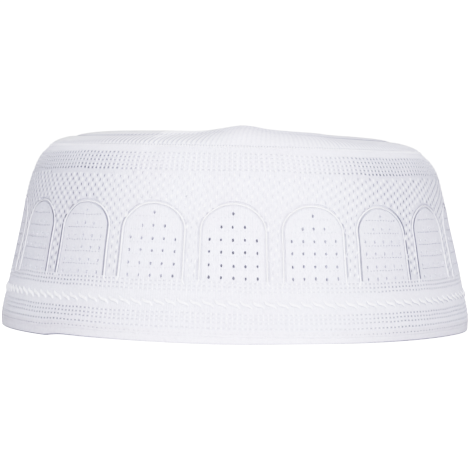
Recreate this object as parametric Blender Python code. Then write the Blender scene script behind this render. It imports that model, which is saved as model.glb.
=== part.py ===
"""A white knitted prayer cap, in metres, +Z up, standing on its hem at z = 0 with its front to -Y.

A tall side wall with eighteen arches is closed by a round top that turns down over its edge, and
stands on a folded hem. Every piece starts as a turned or swept shape round the Z axis, and is
then settled: the whole cap leans, tilts, lifts at its hem and dents a little, as soft cloth does.
"""

import math
from collections import namedtuple

import bmesh
import bpy
from mathutils import Vector

MM = 0.001

# Cloth
WALL_THICKNESS = 1.8 * MM
TOP_THICKNESS = 1.6 * MM
HEM_THICKNESS = 2.2 * MM
HEM_ROUNDING = 0.5 * MM
PIECE_GAP = 0.3 * MM

# Heights above the surface that the cap stands on
HEM_TOP = 4.6 * MM
SEAM_HEIGHT = 71.1 * MM
TOP_HEIGHT = 76.8 * MM

# Arches
ARCH_COUNT = 18
ARCH_PITCH = math.tau / ARCH_COUNT
ARCH_HALF_ANGLE = math.radians(7.75)
ARCH_FOOT_HEIGHT = 20.4 * MM
ARCH_SPRING_HEIGHT = 41.2 * MM
ARCH_RISE = 8.4 * MM
ARCH_HEAD_STEPS = 8
CORD_RADIUS = 0.42 * MM
CORD_BEVEL_RESOLUTION = 1

# Eyelets that are cut through the wall, one in each row at the middle of each arch
EYELET_HEIGHTS = [h * MM for h in (23.5, 27.8, 32.6, 37.0, 41.5, 46.0)]
EYELET_FRAME = 0.9 * MM
EYELET_SQUASH = 0.72

# Columns of faces round the cap: four to an arch, a narrow one at its middle for the eyelets
COLUMNS_PER_ARCH = 4
COLUMN_COUNT = ARCH_COUNT * COLUMNS_PER_ARCH
EVEN_COLUMN = ARCH_PITCH / COLUMNS_PER_ARCH
MIDDLE_HALF_ANGLE = math.radians(1.05)
FLANK_ANGLE = math.radians(7.0)

# How the soft cap settles
LEAN_AT_HEM = 0.27 * MM
LEAN_AT_SEAM = -0.45 * MM
TILT_FROM = 15.0 * MM
TILT_SLOPE = 0.014
HEM_LIFT_FADE = 12.0 * MM
CREASE_X = 3.0 * MM
CREASE_HEIGHT = 2.5 * MM
CREASE_LEFT_WIDTH = 7.5 * MM
CREASE_RIGHT_WIDTH = 11.0 * MM
CREASE_FROM = 71.5 * MM
CREASE_FULL = 75.5 * MM

WallRow = namedtuple("WallRow", "height radius")
WALL_PROFILE = [
    WallRow(0.0, 94.0),
    WallRow(4.3, 94.1),
    WallRow(8.0, 93.6),
    WallRow(12.0, 92.7),
    WallRow(16.0, 91.75),
    WallRow(20.0, 90.8),
    WallRow(25.0, 89.7),
    WallRow(30.0, 88.65),
    WallRow(40.0, 86.55),
    WallRow(50.0, 84.5),
    WallRow(55.0, 83.3),
    WallRow(60.0, 81.75),
    WallRow(64.0, 80.1),
    WallRow(66.0, 79.05),
    WallRow(68.0, 77.7),
    WallRow(70.0, 75.85),
    WallRow(71.1, 74.6),
]

TopRow = namedtuple("TopRow", "radius height")
TOP_PROFILE = [
    TopRow(0.0, 76.3),
    TopRow(16.0, 76.35),
    TopRow(30.0, 76.5),
    TopRow(48.0, 76.8),
    TopRow(57.5, 76.2),
    TopRow(63.5, 75.2),
    TopRow(68.0, 74.25),
    TopRow(70.8, 73.4),
    TopRow(73.0, 72.4),
    TopRow(74.25, 71.55),
]

# Heights of the wall's rings of faces, apart from those halfway between the rows of eyelets
RINGS_BELOW_EYELETS = [h * MM for h in (4.9, 10.0, 15.5, 21.3)]
RINGS_ABOVE_EYELETS = [h * MM for h in (48.4, 54.0, 60.0, 64.6, 67.8, 69.9, 71.1)]

# Radii of the top's rings of faces, outside and inside
TOP_OUTER_RADII = [r * MM for r in (30.0, 48.0, 57.5, 63.5, 68.0, 70.8, 73.0, 74.25)]
TOP_INNER_RADII = [r * MM for r in (30.0, 50.0, 62.5, 70.0, 74.25)]

# The hem's height above the surface, by the angle from the front towards +X
LiftRow = namedtuple("LiftRow", "angle lift")
HEM_LIFT = [
    LiftRow(-180.0, 0.0),
    LiftRow(-50.0, 0.0),
    LiftRow(-44.0, 0.9),
    LiftRow(-37.0, 0.9),
    LiftRow(-26.0, 0.8),
    LiftRow(-14.0, 0.6),
    LiftRow(0.0, 0.4),
    LiftRow(14.0, 0.6),
    LiftRow(30.0, 0.4),
    LiftRow(60.0, 0.3),
    LiftRow(80.0, 0.0),
    LiftRow(180.0, 0.0),
]

# Soft dents, or bulges where the depth is negative
Dent = namedtuple("Dent", "angle height half_angle half_height depth")
DENTS = [
    Dent(-27.5, 70.0, 3.0, 6.0, -0.5),
    Dent(-23.0, 69.0, 3.0, 7.0, 0.7),
    Dent(2.0, 70.0, 3.5, 10.0, -0.6),
    Dent(13.0, 69.0, 6.0, 6.0, 0.4),
    Dent(47.0, 67.0, 8.0, 8.0, 0.9),
    Dent(60.0, 70.0, 4.0, 5.0, -0.5),
    Dent(-78.0, 42.0, 16.0, 22.0, 0.5),
    Dent(84.0, 24.0, 14.0, 16.0, -0.4),
    Dent(128.0, 58.0, 12.0, 14.0, 0.9),
    Dent(182.0, 70.0, 3.5, 10.0, -0.6),
    Dent(206.0, 62.0, 11.0, 12.0, 0.8),
    Dent(-112.0, 66.0, 8.0, 9.0, 0.6),
]

Finish = namedtuple("Finish", "red green blue roughness")
KNIT_FINISH = Finish(0.86, 0.86, 0.90, 0.9)
HEM_FINISH = Finish(0.85, 0.84, 0.89, 0.88)
CORD_FINISH = Finish(0.93, 0.93, 0.96, 0.6)

# How the meshes are worked out
SMOOTH_ANGLE = math.radians(40.0)
SLOPE_STEP = 0.2
MERGE_DISTANCE = 0.01 * MM
DENT_FULL_RADIUS = 70.0 * MM
SIDEWAYS_NORMAL = 0.5


def clear_scene():
    for obj in list(bpy.data.objects):
        bpy.data.objects.remove(obj, do_unlink=True)


def smooth_step(low, high, value):
    """0 below low, 1 above high, and an even ease between them."""
    share = min(max((value - low) / (high - low), 0.0), 1.0)
    return share * share * (3.0 - 2.0 * share)


def along_table(rows, at):
    """The second column of a table at a place along its first, on one smooth curve."""
    last = len(rows) - 1
    k = min(max(sum(row[0] <= at for row in rows) - 1, 0), last - 1)

    def slope(i):
        before, after = rows[max(i - 1, 0)], rows[min(i + 1, last)]
        return (after[1] - before[1]) / (after[0] - before[0])

    (start, first), (end, second) = rows[k], rows[k + 1]
    span = end - start
    t = min(max((at - start) / span, 0.0), 1.0)
    rise = second - first
    left, right = slope(k) * span, slope(k + 1) * span
    return first + t * (left + t * (3.0 * rise - 2.0 * left - right + t * (left + right - 2.0 * rise)))


def wall_radius(height):
    return along_table(WALL_PROFILE, height / MM) * MM


def top_height(radius):
    return along_table(TOP_PROFILE, radius / MM) * MM


def slope_along(rows, at):
    """How fast the second column of a table changes along its first, there."""
    low = max(at - SLOPE_STEP, rows[0][0])
    high = min(at + SLOPE_STEP, rows[-1][0])
    return (along_table(rows, high) - along_table(rows, low)) / (high - low)


def wall_section(height, depth):
    """(radius, height) of the point that lies depth inside the wall's outer face, square to it."""
    lean = slope_along(WALL_PROFILE, height / MM)
    size = math.hypot(1.0, lean)
    return wall_radius(height) - depth / size, height + depth * lean / size


def top_section(radius, depth):
    """(radius, height) of the point that lies depth inside the top's outer face, square to it."""
    fall = slope_along(TOP_PROFILE, radius / MM)
    size = math.hypot(1.0, fall)
    return radius + depth * fall / size, top_height(radius) - depth / size


def angle_between(first, second):
    """The angle from the second to the first, in degrees, the short way round."""
    return (first - second + 180.0) % 360.0 - 180.0


def dent_depth(angle, height):
    total = 0.0
    for dent in DENTS:
        across = angle_between(angle, dent.angle) / dent.half_angle
        up = (height / MM - dent.height) / dent.half_height
        total += dent.depth * MM * math.exp(-across * across - up * up)
    return total


def crease_rise(x):
    """How far the fold that runs front to back over the top stands up."""
    width = CREASE_LEFT_WIDTH if x < CREASE_X else CREASE_RIGHT_WIDTH
    across = (x - CREASE_X) / width
    return CREASE_HEIGHT * math.exp(-across * across)


def settled(point):
    """Where a point of the evenly turned cap ends up on the soft one."""
    radius = math.hypot(point.x, point.y)
    height = point.z
    angle = math.degrees(math.atan2(point.x, -point.y))
    if radius > 0.0:
        inward = dent_depth(angle, height) * min(radius / DENT_FULL_RADIUS, 1.0)
        keep = 1.0 - inward / radius
        point = Vector((point.x * keep, point.y * keep, height))
    share_up = height / SEAM_HEIGHT
    x = point.x + LEAN_AT_HEM + (LEAN_AT_SEAM - LEAN_AT_HEM) * share_up
    tilt = TILT_SLOPE * max(height - TILT_FROM, 0.0) / (TOP_HEIGHT - TILT_FROM)
    lift = along_table(HEM_LIFT, angle) * MM * (1.0 - smooth_step(0.0, HEM_LIFT_FADE, height))
    crease = crease_rise(x) * smooth_step(CREASE_FROM, CREASE_FULL, height)
    return Vector((x, point.y, height - tilt * x + max(lift, 0.0) + crease))


def on_wall(angle, height, out):
    """The settled point at this angle from the front, standing out from the wall's face."""
    radius, level = wall_section(height, -out)
    return settled(Vector((radius * math.sin(angle), -radius * math.cos(angle), level)))


def even_to_arch_angle(angle):
    """Moves evenly spaced columns to those of the arches: two close to the middle, two at the flanks."""
    arch = round(angle / ARCH_PITCH) * ARCH_PITCH
    within = angle - arch
    side = math.copysign(1.0, within)
    beside_middle = abs(within) < EVEN_COLUMN
    return arch + side * (MIDDLE_HALF_ANGLE if beside_middle else FLANK_ANGLE)


def turned(section):
    """A mesh made by turning a closed (radius, height) outline round the Z axis, in the arches' columns."""
    mesh = bmesh.new()
    start = -EVEN_COLUMN / 2.0
    ring = [
        mesh.verts.new((radius * math.sin(start), -radius * math.cos(start), height))
        for radius, height in section
    ]
    edges = [mesh.edges.new(pair) for pair in zip(ring, ring[1:] + ring[:1])]
    bmesh.ops.spin(
        mesh,
        geom=ring + edges,
        cent=(0.0, 0.0, 0.0),
        axis=(0.0, 0.0, 1.0),
        angle=math.tau,
        steps=COLUMN_COUNT,
        use_merge=True,
    )
    bmesh.ops.remove_doubles(mesh, verts=mesh.verts, dist=MERGE_DISTANCE)
    for vert in mesh.verts:
        radius = math.hypot(vert.co.x, vert.co.y)
        if radius > MM:
            angle = even_to_arch_angle(math.atan2(vert.co.x, -vert.co.y))
            vert.co.x = radius * math.sin(angle)
            vert.co.y = -radius * math.cos(angle)
    bmesh.ops.recalc_face_normals(mesh, faces=mesh.faces)
    return mesh


def pierce(mesh):
    """Cuts one eyelet through the wall at each row of each arch's middle column."""
    faces = {}
    for face in mesh.faces:
        centre = face.calc_center_median()
        radial = Vector((centre.x, centre.y, 0.0)).normalized()
        if abs(face.normal.dot(radial)) < SIDEWAYS_NORMAL:
            continue
        angle = math.atan2(centre.x, -centre.y)
        arch = round(angle / ARCH_PITCH)
        row = min(range(len(EYELET_HEIGHTS)), key=lambda i: abs(EYELET_HEIGHTS[i] - centre.z))
        in_column = abs(angle - arch * ARCH_PITCH) < MIDDLE_HALF_ANGLE / 2.0
        if in_column and abs(EYELET_HEIGHTS[row] - centre.z) < MM:
            faces.setdefault((arch % ARCH_COUNT, row), []).append(face)
    chosen = [face for pair in faces.values() for face in pair]
    bmesh.ops.inset_individual(mesh, faces=chosen, thickness=EYELET_FRAME)
    for face in chosen:
        middle = face.calc_center_median()
        for vert in face.verts:
            vert.co = middle + (vert.co - middle) * Vector((1.0, 1.0, EYELET_SQUASH))
    for pair in faces.values():
        rims = [edge for face in pair for edge in face.edges]
        bmesh.ops.delete(mesh, geom=pair, context="FACES_ONLY")
        bmesh.ops.bridge_loops(mesh, edges=rims)


def settle(mesh):
    for vert in mesh.verts:
        vert.co = settled(vert.co)
    bmesh.ops.recalc_face_normals(mesh, faces=mesh.faces)


def cloth_material(name, finish):
    material = bpy.data.materials.new(name)
    material.use_nodes = True
    shader = material.node_tree.nodes["Principled BSDF"]
    shader.inputs["Base Color"].default_value = (finish.red, finish.green, finish.blue, 1.0)
    shader.inputs["Roughness"].default_value = finish.roughness
    shader.inputs["Metallic"].default_value = 0.0
    return material


def add_mesh_piece(name, mesh, material):
    data = bpy.data.meshes.new(name)
    mesh.to_mesh(data)
    mesh.free()
    data.materials.append(material)
    data.shade_smooth()
    data.set_sharp_from_angle(angle=SMOOTH_ANGLE)
    piece = bpy.data.objects.new(name, data)
    bpy.context.scene.collection.objects.link(piece)
    return piece


def eyelet_ring_heights():
    """The rings of faces that run halfway between two rows of eyelets."""
    pairs = zip(EYELET_HEIGHTS, EYELET_HEIGHTS[1:])
    return [(low + high) / 2.0 for low, high in pairs]


def make_side_band():
    heights = RINGS_BELOW_EYELETS + eyelet_ring_heights() + RINGS_ABOVE_EYELETS
    outside = [wall_section(height, 0.0) for height in heights]
    inside = [wall_section(height, WALL_THICKNESS) for height in reversed(heights)]
    mesh = turned(outside + inside)
    pierce(mesh)
    settle(mesh)
    return add_mesh_piece("side_band", mesh, cloth_material("knit_wall", KNIT_FINISH))


def make_top_panel():
    outside = [top_section(radius, 0.0) for radius in TOP_OUTER_RADII]
    inside = [top_section(radius, TOP_THICKNESS) for radius in reversed(TOP_INNER_RADII)]
    peak = (0.0, top_height(0.0))
    mesh = turned([peak] + outside + inside + [(0.0, peak[1] - TOP_THICKNESS)])
    for edge in [edge for edge in mesh.edges if not edge.link_faces]:
        mesh.edges.remove(edge)
    settle(mesh)
    return add_mesh_piece("top_panel", mesh, cloth_material("knit_top", KNIT_FINISH))


def make_hem_band():
    face = wall_radius(HEM_TOP / 2.0)
    back = face - HEM_THICKNESS
    section = [
        (wall_radius(HEM_TOP), HEM_TOP),
        (face, HEM_ROUNDING),
        (face - HEM_ROUNDING, 0.0),
        (back + HEM_ROUNDING, 0.0),
        (back, HEM_ROUNDING),
        (wall_radius(HEM_TOP) - HEM_THICKNESS, HEM_TOP),
    ]
    mesh = turned(section)
    settle(mesh)
    return add_mesh_piece("hem_band", mesh, cloth_material("hem_cloth", HEM_FINISH))


def arch_route(middle):
    """Points along one arch's cord: up one leg, over the head and down the other leg."""
    out = PIECE_GAP + CORD_RADIUS
    route = [on_wall(middle - ARCH_HALF_ANGLE, ARCH_FOOT_HEIGHT, out)]
    for step in range(ARCH_HEAD_STEPS + 1):
        turn = math.pi * step / ARCH_HEAD_STEPS
        angle = middle - ARCH_HALF_ANGLE * math.cos(turn)
        route.append(on_wall(angle, ARCH_SPRING_HEIGHT + ARCH_RISE * math.sin(turn), out))
    route.append(on_wall(middle + ARCH_HALF_ANGLE, ARCH_FOOT_HEIGHT, out))
    return route


def make_arch_cord(number, material):
    name = f"arch_cord_{number + 1:02d}"
    curve = bpy.data.curves.new(name, "CURVE")
    curve.dimensions = "3D"
    curve.bevel_depth = CORD_RADIUS
    curve.bevel_resolution = CORD_BEVEL_RESOLUTION
    curve.use_fill_caps = True
    route = arch_route(number * ARCH_PITCH)
    spline = curve.splines.new("POLY")
    spline.points.add(len(route) - 1)
    for point, place in zip(spline.points, route):
        point.co = (place.x, place.y, place.z, 1.0)
    curve.materials.append(material)
    piece = bpy.data.objects.new(name, curve)
    bpy.context.scene.collection.objects.link(piece)
    return piece


def main():
    clear_scene()
    make_side_band()
    make_top_panel()
    make_hem_band()
    cord_material = cloth_material("satin_cord", CORD_FINISH)
    for number in range(ARCH_COUNT):
        make_arch_cord(number, cord_material)


main()
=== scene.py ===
"""Looks of a white knitted prayer cap, dressed over its solid model, in metres.

Each piece of cloth is first laid out flat, in millimetres: x runs round the cap, y up its wall and
z out of its face. Its stitches and openings are worked there for one repeat of the pattern, the
repeat is copied round, and the whole is wrapped onto the settled form of the cap.
"""

import logging
import math
from collections.abc import Callable, Iterable, Sequence
from dataclasses import dataclass, field, replace
from enum import Enum
from functools import cached_property

import bmesh
import bpy
import numpy as np
from mathutils import Matrix, Vector


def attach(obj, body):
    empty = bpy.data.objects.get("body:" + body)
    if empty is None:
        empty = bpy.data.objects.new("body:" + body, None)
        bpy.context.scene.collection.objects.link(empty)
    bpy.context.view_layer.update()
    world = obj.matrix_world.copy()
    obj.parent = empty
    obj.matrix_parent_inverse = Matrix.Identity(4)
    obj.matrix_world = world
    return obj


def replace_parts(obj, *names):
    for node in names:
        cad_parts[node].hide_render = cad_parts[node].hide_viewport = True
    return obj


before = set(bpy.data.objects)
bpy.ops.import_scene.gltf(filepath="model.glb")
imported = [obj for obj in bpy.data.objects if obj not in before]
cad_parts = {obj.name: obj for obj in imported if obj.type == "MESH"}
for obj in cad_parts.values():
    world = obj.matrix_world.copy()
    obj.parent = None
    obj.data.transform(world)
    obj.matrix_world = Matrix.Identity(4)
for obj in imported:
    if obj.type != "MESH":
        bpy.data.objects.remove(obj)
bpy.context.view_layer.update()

log = logging.getLogger("prayer_cap")

MM = 0.001
BODY = "root"
ARCH_COUNT = 18
FULL_TURN = 360.0
HALF_TURN = 180.0
WHITE = (1.0, 1.0, 1.0, 1.0)
# the least length that is divided by, and how near a cut a point counts as on it, in millimetres
LEAST = 1e-6
SNIP = 1e-4

Table = tuple[tuple[float, ...], ...]
Cell = tuple[int, int]
Place = Callable[[np.ndarray], np.ndarray]


def smooth_step(low: float, high: float, value: np.ndarray) -> np.ndarray:
    """0 below low, 1 above high, and an even ease between them."""
    share = np.clip((value - low) / (high - low), 0.0, 1.0)
    return share * share * (3.0 - 2.0 * share)


def along_table(rows: Table, at: np.ndarray, column: int = 1) -> np.ndarray:
    """Reads a column of a table on one smooth curve through its rows.

    Args:
        rows: rows of numbers, with the first column rising.
        at: places along the first column.
        column: the column to read.

    Returns:
        The column at each place.
    """
    xs, ys = np.array(rows, float)[:, (0, column)].T
    last = len(xs) - 1
    step = np.arange(last + 1)
    before, after = np.maximum(step - 1, 0), np.minimum(step + 1, last)
    slopes = (ys[after] - ys[before]) / (xs[after] - xs[before])
    k = np.clip(np.searchsorted(xs, at, side="right") - 1, 0, last - 1)
    span = xs[k + 1] - xs[k]
    t = np.clip((at - xs[k]) / span, 0.0, 1.0)
    rise = ys[k + 1] - ys[k]
    left, right = slopes[k] * span, slopes[k + 1] * span
    return ys[k] + t * (left + t * (3.0 * rise - 2.0 * left - right + t * (left + right - 2.0 * rise)))


class Hold(Enum):
    """How a sheet of cloth is held."""

    STRETCHED = "stretched"
    FOLDED = "folded"


@dataclass(frozen=True)
class Cut:
    """The flat size that a piece of cloth is cut to before it is sewn, in millimetres."""

    width: float
    length: float
    area: float

    def declare(
        self, piece: bpy.types.Object, held: Hold, rests_on: Sequence[str],
        on_it: Sequence[bpy.types.Object] = (),
    ) -> None:
        """Takes a piece that is a sheet of cloth of this size, and does nothing with it.

        Args:
            piece: the piece of cloth; not used.
            held: how it is held; not used.
            rests_on: the names of the pieces that carry it; not used.
            on_it: the separate pieces that are sewn on it; not used.
        """


@dataclass(frozen=True)
class CapForm:
    """The settled faces of the cap, from its profiles, dents, lean and crease, in millimetres."""

    ring_radius: float = 88.2
    seam_height: float = 71.1
    top_height: float = 76.8
    top_edge_radius: float = 74.25
    lean_at_hem: float = 0.27
    lean_at_seam: float = -0.45
    tilt_from: float = 15.0
    tilt_slope: float = 0.0095
    hem_lift_fade: float = 12.0
    crease_x: float = 3.0
    crease_from: float = 71.5
    crease_full: float = 75.5
    dent_full_radius: float = 70.0
    slope_step: float = 0.2
    # height, radius
    wall_profile: Table = (
        (0.0, 94.0), (4.3, 94.1), (8.0, 93.6), (12.0, 92.7), (16.0, 91.75), (20.0, 90.8),
        (25.0, 89.7), (30.0, 88.65), (40.0, 86.55), (50.0, 84.5), (55.0, 83.3), (60.0, 81.75),
        (64.0, 80.1), (66.0, 79.05), (68.0, 77.7), (70.0, 75.85), (71.1, 74.6),
    )
    # radius, height
    top_profile: Table = (
        (0.0, 76.3), (16.0, 76.35), (30.0, 76.5), (48.0, 76.8), (57.5, 76.2), (63.5, 75.2),
        (68.0, 74.25), (70.8, 73.4), (73.0, 72.4), (74.25, 71.55),
    )
    # millimetres aside of the crease's middle, height
    crease: Table = (
        (-26.0, 0.0), (-18.0, 0.02), (-12.5, 0.55), (-6.8, 1.67), (-4.1, 2.3), (-1.1, 2.75), (1.9, 2.66),
        (4.6, 2.35), (7.3, 1.85), (10.3, 1.48), (16.0, 1.12), (21.7, 0.85), (27.4, 0.58), (33.0, 0.12),
        (40.0, 0.0),
    )
    # angle from the front towards +X in degrees, lift
    hem_lift: Table = (
        (-180.0, 0.0), (-50.0, 0.0), (-44.0, 0.9), (-37.0, 0.9), (-26.0, 0.8), (-14.0, 0.6),
        (0.0, 0.4), (14.0, 0.6), (30.0, 0.4), (60.0, 0.3), (80.0, 0.0), (180.0, 0.0),
    )
    # angle in degrees, height, half angle, half height, depth
    dents: Table = (
        (-27.5, 70.0, 3.0, 6.0, -0.5), (-23.0, 69.0, 3.0, 7.0, 0.7), (2.0, 70.0, 3.5, 10.0, -0.6),
        (13.0, 69.0, 6.0, 6.0, 0.4), (47.0, 67.0, 8.0, 8.0, 0.9), (60.0, 70.0, 4.0, 5.0, -0.5),
        (-78.0, 42.0, 16.0, 22.0, 0.5), (84.0, 24.0, 16.0, 22.0, -0.7), (82.0, 64.0, 16.0, 6.0, -0.9),
        (128.0, 58.0, 12.0, 14.0, 0.9), (182.0, 70.0, 3.5, 10.0, -0.6),
        (206.0, 62.0, 11.0, 12.0, 0.8), (-112.0, 66.0, 8.0, 9.0, 0.6),
    )
    # angle in degrees; degrees aside at the arches' heads and feet; millimetres up at the same two
    drift: Table = (
        (-180.0, -0.9, -0.9, 0.3, 0.5), (-100.0, 0.0, -0.1, 0.3, 0.9), (-65.0, 0.0, 0.0, 0.3, 1.05),
        (-40.0, 0.05, 0.05, 0.42, 1.0), (-20.0, 0.12, 0.12, 0.32, 0.6), (0.0, -0.4, -0.33, 0.5, 0.48),
        (20.0, -0.65, -0.95, 0.03, 0.08), (40.0, -1.05, -1.6, 0.03, 0.02), (60.0, -1.1, -1.75, 0.2, 0.37),
        (100.0, -0.6, -1.0, 0.3, 0.7), (180.0, -0.9, -0.9, 0.3, 0.5),
    )
    drift_head: float = 40.0
    drift_foot: float = 22.0
    # waves round the cap, turn per mm of height, phase, shift aside, upwards and outwards
    unevenness: Table = (
        (7.0, 0.045, 0.4, 0.10, 0.10, 0.12),
        (13.0, -0.08, 2.2, 0.08, 0.08, 0.09),
        (31.0, 0.10, 5.0, 0.05, 0.05, 0.05),
        (53.0, 0.27, 0.3, 0.04, 0.03, 0.02),
    )
    # how much later each wave's shifts upwards and outwards come
    wave_lags: tuple[float, float] = (1.3, 2.6)
    # the heights over which drift and waves fade in above the hem, and out below the seam
    drift_fades: Table = ((0.3, 3.0), (67.8, 71.1))
    wave_fades: Table = ((0.0, 9.0), (66.0, 71.0))
    profile_samples: int = 33

    @property
    def round_length(self) -> float:
        """The flat length of one turn round the cap."""
        return math.tau * self.ring_radius

    @property
    def half_turn(self) -> float:
        """The flat length from the front to the back."""
        return self.round_length / 2

    @property
    def pitch(self) -> float:
        """The flat width of one repeat, from the middle of an arch to the next."""
        return self.round_length / ARCH_COUNT

    def width_of(self, degrees: float) -> float:
        """The flat width of an angle."""
        return math.radians(degrees) * self.ring_radius

    def strip(self, low: float, high: float, share: float = 1.0) -> "Cut":
        """The flat size of the wall's cloth between two heights.

        Args:
            low: the lower height.
            high: the upper height.
            share: how much of the strip is cloth.

        Returns:
            The size that such a strip is cut to.
        """
        heights = np.linspace(low, high, self.profile_samples)
        radii = along_table(self.wall_profile, heights)
        length = float(np.hypot(np.diff(heights), np.diff(radii)).sum())
        width = math.tau * float(radii.mean())
        return Cut(width, length, width * length * share)

    @staticmethod
    def _turned(degrees: np.ndarray) -> np.ndarray:
        """Angles brought within half a turn of the front."""
        return (degrees + HALF_TURN) % FULL_TURN - HALF_TURN

    @staticmethod
    def _held(fades: Table, up: np.ndarray) -> np.ndarray:
        """1 between two fades in height, and 0 beyond them."""
        (low, full), (fading, gone) = fades
        return smooth_step(low, full, up) * (1.0 - smooth_step(fading, gone, up))

    def _slope(self, rows: Table, at: np.ndarray) -> np.ndarray:
        """How steeply a profile rises.

        Args:
            rows: the profile's table.
            at: places along its first column.

        Returns:
            The rise of its second column for each step of one.
        """
        low = np.maximum(at - self.slope_step, rows[0][0])
        high = np.minimum(at + self.slope_step, rows[-1][0])
        return (along_table(rows, high) - along_table(rows, low)) / (high - low)

    def _settle(self, angle: np.ndarray, radius: np.ndarray, height: np.ndarray) -> np.ndarray:
        """Where points of the evenly turned cap end up on the soft one.

        Args:
            angle: angles from the front towards +X, in radians.
            radius: distances from the axis.
            height: heights above the surface that the cap stands on.

        Returns:
            One row of x, y and z for each point.
        """
        degrees = np.degrees(angle)
        inward = np.zeros_like(radius)
        for middle, level, half_angle, half_height, depth in self.dents:
            across = self._turned(degrees - middle) / half_angle
            up = (height - level) / half_height
            inward += depth * np.exp(-across * across - up * up)
        radius = radius - inward * np.minimum(radius / self.dent_full_radius, 1.0)
        x, y = radius * np.sin(angle), -radius * np.cos(angle)
        x = x + self.lean_at_hem + (self.lean_at_seam - self.lean_at_hem) * height / self.seam_height
        tilted = np.maximum(height - self.tilt_from, 0.0) / (self.top_height - self.tilt_from)
        lift = np.maximum(along_table(self.hem_lift, self._turned(degrees)), 0.0)
        lift = lift * (1.0 - smooth_step(0.0, self.hem_lift_fade, height))
        crease = along_table(self.crease, x - self.crease_x)
        crease = crease * smooth_step(self.crease_from, self.crease_full, height)
        return np.column_stack((x, y, height - self.tilt_slope * tilted * x + lift + crease))

    def drifted(self, x: np.ndarray, up: np.ndarray) -> tuple[np.ndarray, np.ndarray]:
        """How far the pattern lies from where it was laid out.

        Args:
            x: flat places round the cap.
            up: their heights.

        Returns:
            The distances aside and up.
        """
        turn = self._turned(np.degrees(x / self.ring_radius))
        high = smooth_step(self.drift_foot, self.drift_head, up)
        aside, lift = [
            along_table(self.drift, turn, column) * high
            + along_table(self.drift, turn, column + 1) * (1.0 - high)
            for column in (1, 3)
        ]
        return np.radians(aside) * self.ring_radius, lift * self._held(self.drift_fades, up)

    def _sway(self, flat: np.ndarray) -> np.ndarray:
        """Shifts stitches a little each way, as knitting does, and nothing at the hem and the seam.

        Args:
            flat: one row of flat x, y and z for each point.

        Returns:
            The shifted rows.
        """
        moved = flat.astype(float)
        angle, up = moved[:, 0] / self.ring_radius, moved[:, 1].copy()
        drift_aside, drift_up = self.drifted(moved[:, 0], up)
        moved[:, 0] += drift_aside
        moved[:, 1] += drift_up
        lag_up, lag_out = self.wave_lags
        shift = np.zeros_like(moved)
        for waves, rise, phase, aside, upwards, outwards in self.unevenness:
            wave = waves * angle + rise * up + phase
            shift[:, 0] += aside * np.sin(wave)
            shift[:, 1] += upwards * np.cos(lag_up + wave)
            shift[:, 2] += outwards * np.sin(lag_out + wave)
        return moved + shift * self._held(self.wave_fades, up)[:, None]

    def wall(self, flat: np.ndarray) -> np.ndarray:
        """Places flat points on the wall: round it, up it and out of its face.

        Args:
            flat: one row of flat x, y and z for each point.

        Returns:
            One row of x, y and z on the cap for each point.
        """
        x, height, out = self._sway(flat).T
        lean = self._slope(self.wall_profile, height)
        size = np.hypot(1.0, lean)
        radius = along_table(self.wall_profile, height) + out / size
        return self._settle(x / self.ring_radius, radius, height - out * lean / size)

    def top(self, flat: np.ndarray) -> np.ndarray:
        """Places flat points on the top: round it, out from its middle and out of its face.

        Args:
            flat: one row of flat x, y and z for each point, with y as the distance from the middle.

        Returns:
            One row of x, y and z on the cap for each point.
        """
        x, radius, out = flat.astype(float).T
        fall = self._slope(self.top_profile, radius)
        size = np.hypot(1.0, fall)
        height = along_table(self.top_profile, radius) + out / size
        return self._settle(x / self.ring_radius, np.maximum(radius - out * fall / size, 0.0), height)


def run_along(points: np.ndarray) -> np.ndarray:
    """How far along a row of points each of them lies."""
    return np.concatenate(([0.0], np.cumsum(np.hypot(*np.diff(points, axis=0).T))))


def mesh_data(name: str, mesh: bmesh.types.BMesh) -> bpy.types.Mesh:
    """Turns a bmesh into mesh data.

    Args:
        name: the data's name.
        mesh: the bmesh, which is freed.

    Returns:
        The mesh data.
    """
    data = bpy.data.meshes.new(name)
    mesh.to_mesh(data)
    mesh.free()
    return data


def put(name: str, data: bpy.types.ID) -> bpy.types.Object:
    """Puts an object in the scene.

    Args:
        name: its name.
        data: its mesh, light or camera.

    Returns:
        The object, at the origin.
    """
    made = bpy.data.objects.new(name, data)
    bpy.context.scene.collection.objects.link(made)
    return made


class NodeBoard:
    """Adds and joins nodes in one node tree, so that a finish reads as a list of steps."""

    def __init__(self, tree: bpy.types.NodeTree) -> None:
        """Starts on a tree that may already hold nodes."""
        self.tree = tree

    @classmethod
    def on(cls, owner: bpy.types.Material | bpy.types.World) -> "NodeBoard":
        """Starts on the emptied tree of a material or a world.

        Args:
            owner: the material or world.

        Returns:
            The board.
        """
        owner.use_nodes = True
        owner.node_tree.nodes.clear()
        return cls(owner.node_tree)

    def add(self, kind: str, links: dict | None = None, **settings: object) -> bpy.types.Node:
        """Adds a node.

        Args:
            kind: the node's type name.
            links: for each input, by name or number, a socket to read or a value to hold.
            settings: properties of the node itself.

        Returns:
            The new node.
        """
        node = self.tree.nodes.new(kind)
        for name, value in settings.items():
            setattr(node, name, value)
        for name, value in (links or {}).items():
            socket = node.inputs[name]
            if isinstance(value, bpy.types.NodeSocket):
                self.tree.links.new(value, socket)
            else:
                socket.default_value = value
        return node

    def math(self, operation: str, *values: object) -> bpy.types.NodeSocket:
        """One step of arithmetic on sockets or numbers."""
        return self.add("ShaderNodeMath", dict(enumerate(values)), operation=operation).outputs[0]

    def mix(self, share: object, first: object, second: object) -> bpy.types.NodeSocket:
        """A blend of two colours by a share."""
        return self.add("ShaderNodeMix", {0: share, 6: first, 7: second}, data_type="RGBA").outputs[2]

    def mix_shaders(
        self, share: object, first: bpy.types.Node, second: bpy.types.Node
    ) -> bpy.types.NodeSocket:
        """A blend of the shaders of two nodes by a share."""
        links = {0: share, 1: first.outputs[0], 2: second.outputs[0]}
        return self.add("ShaderNodeMixShader", links).outputs[0]


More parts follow.
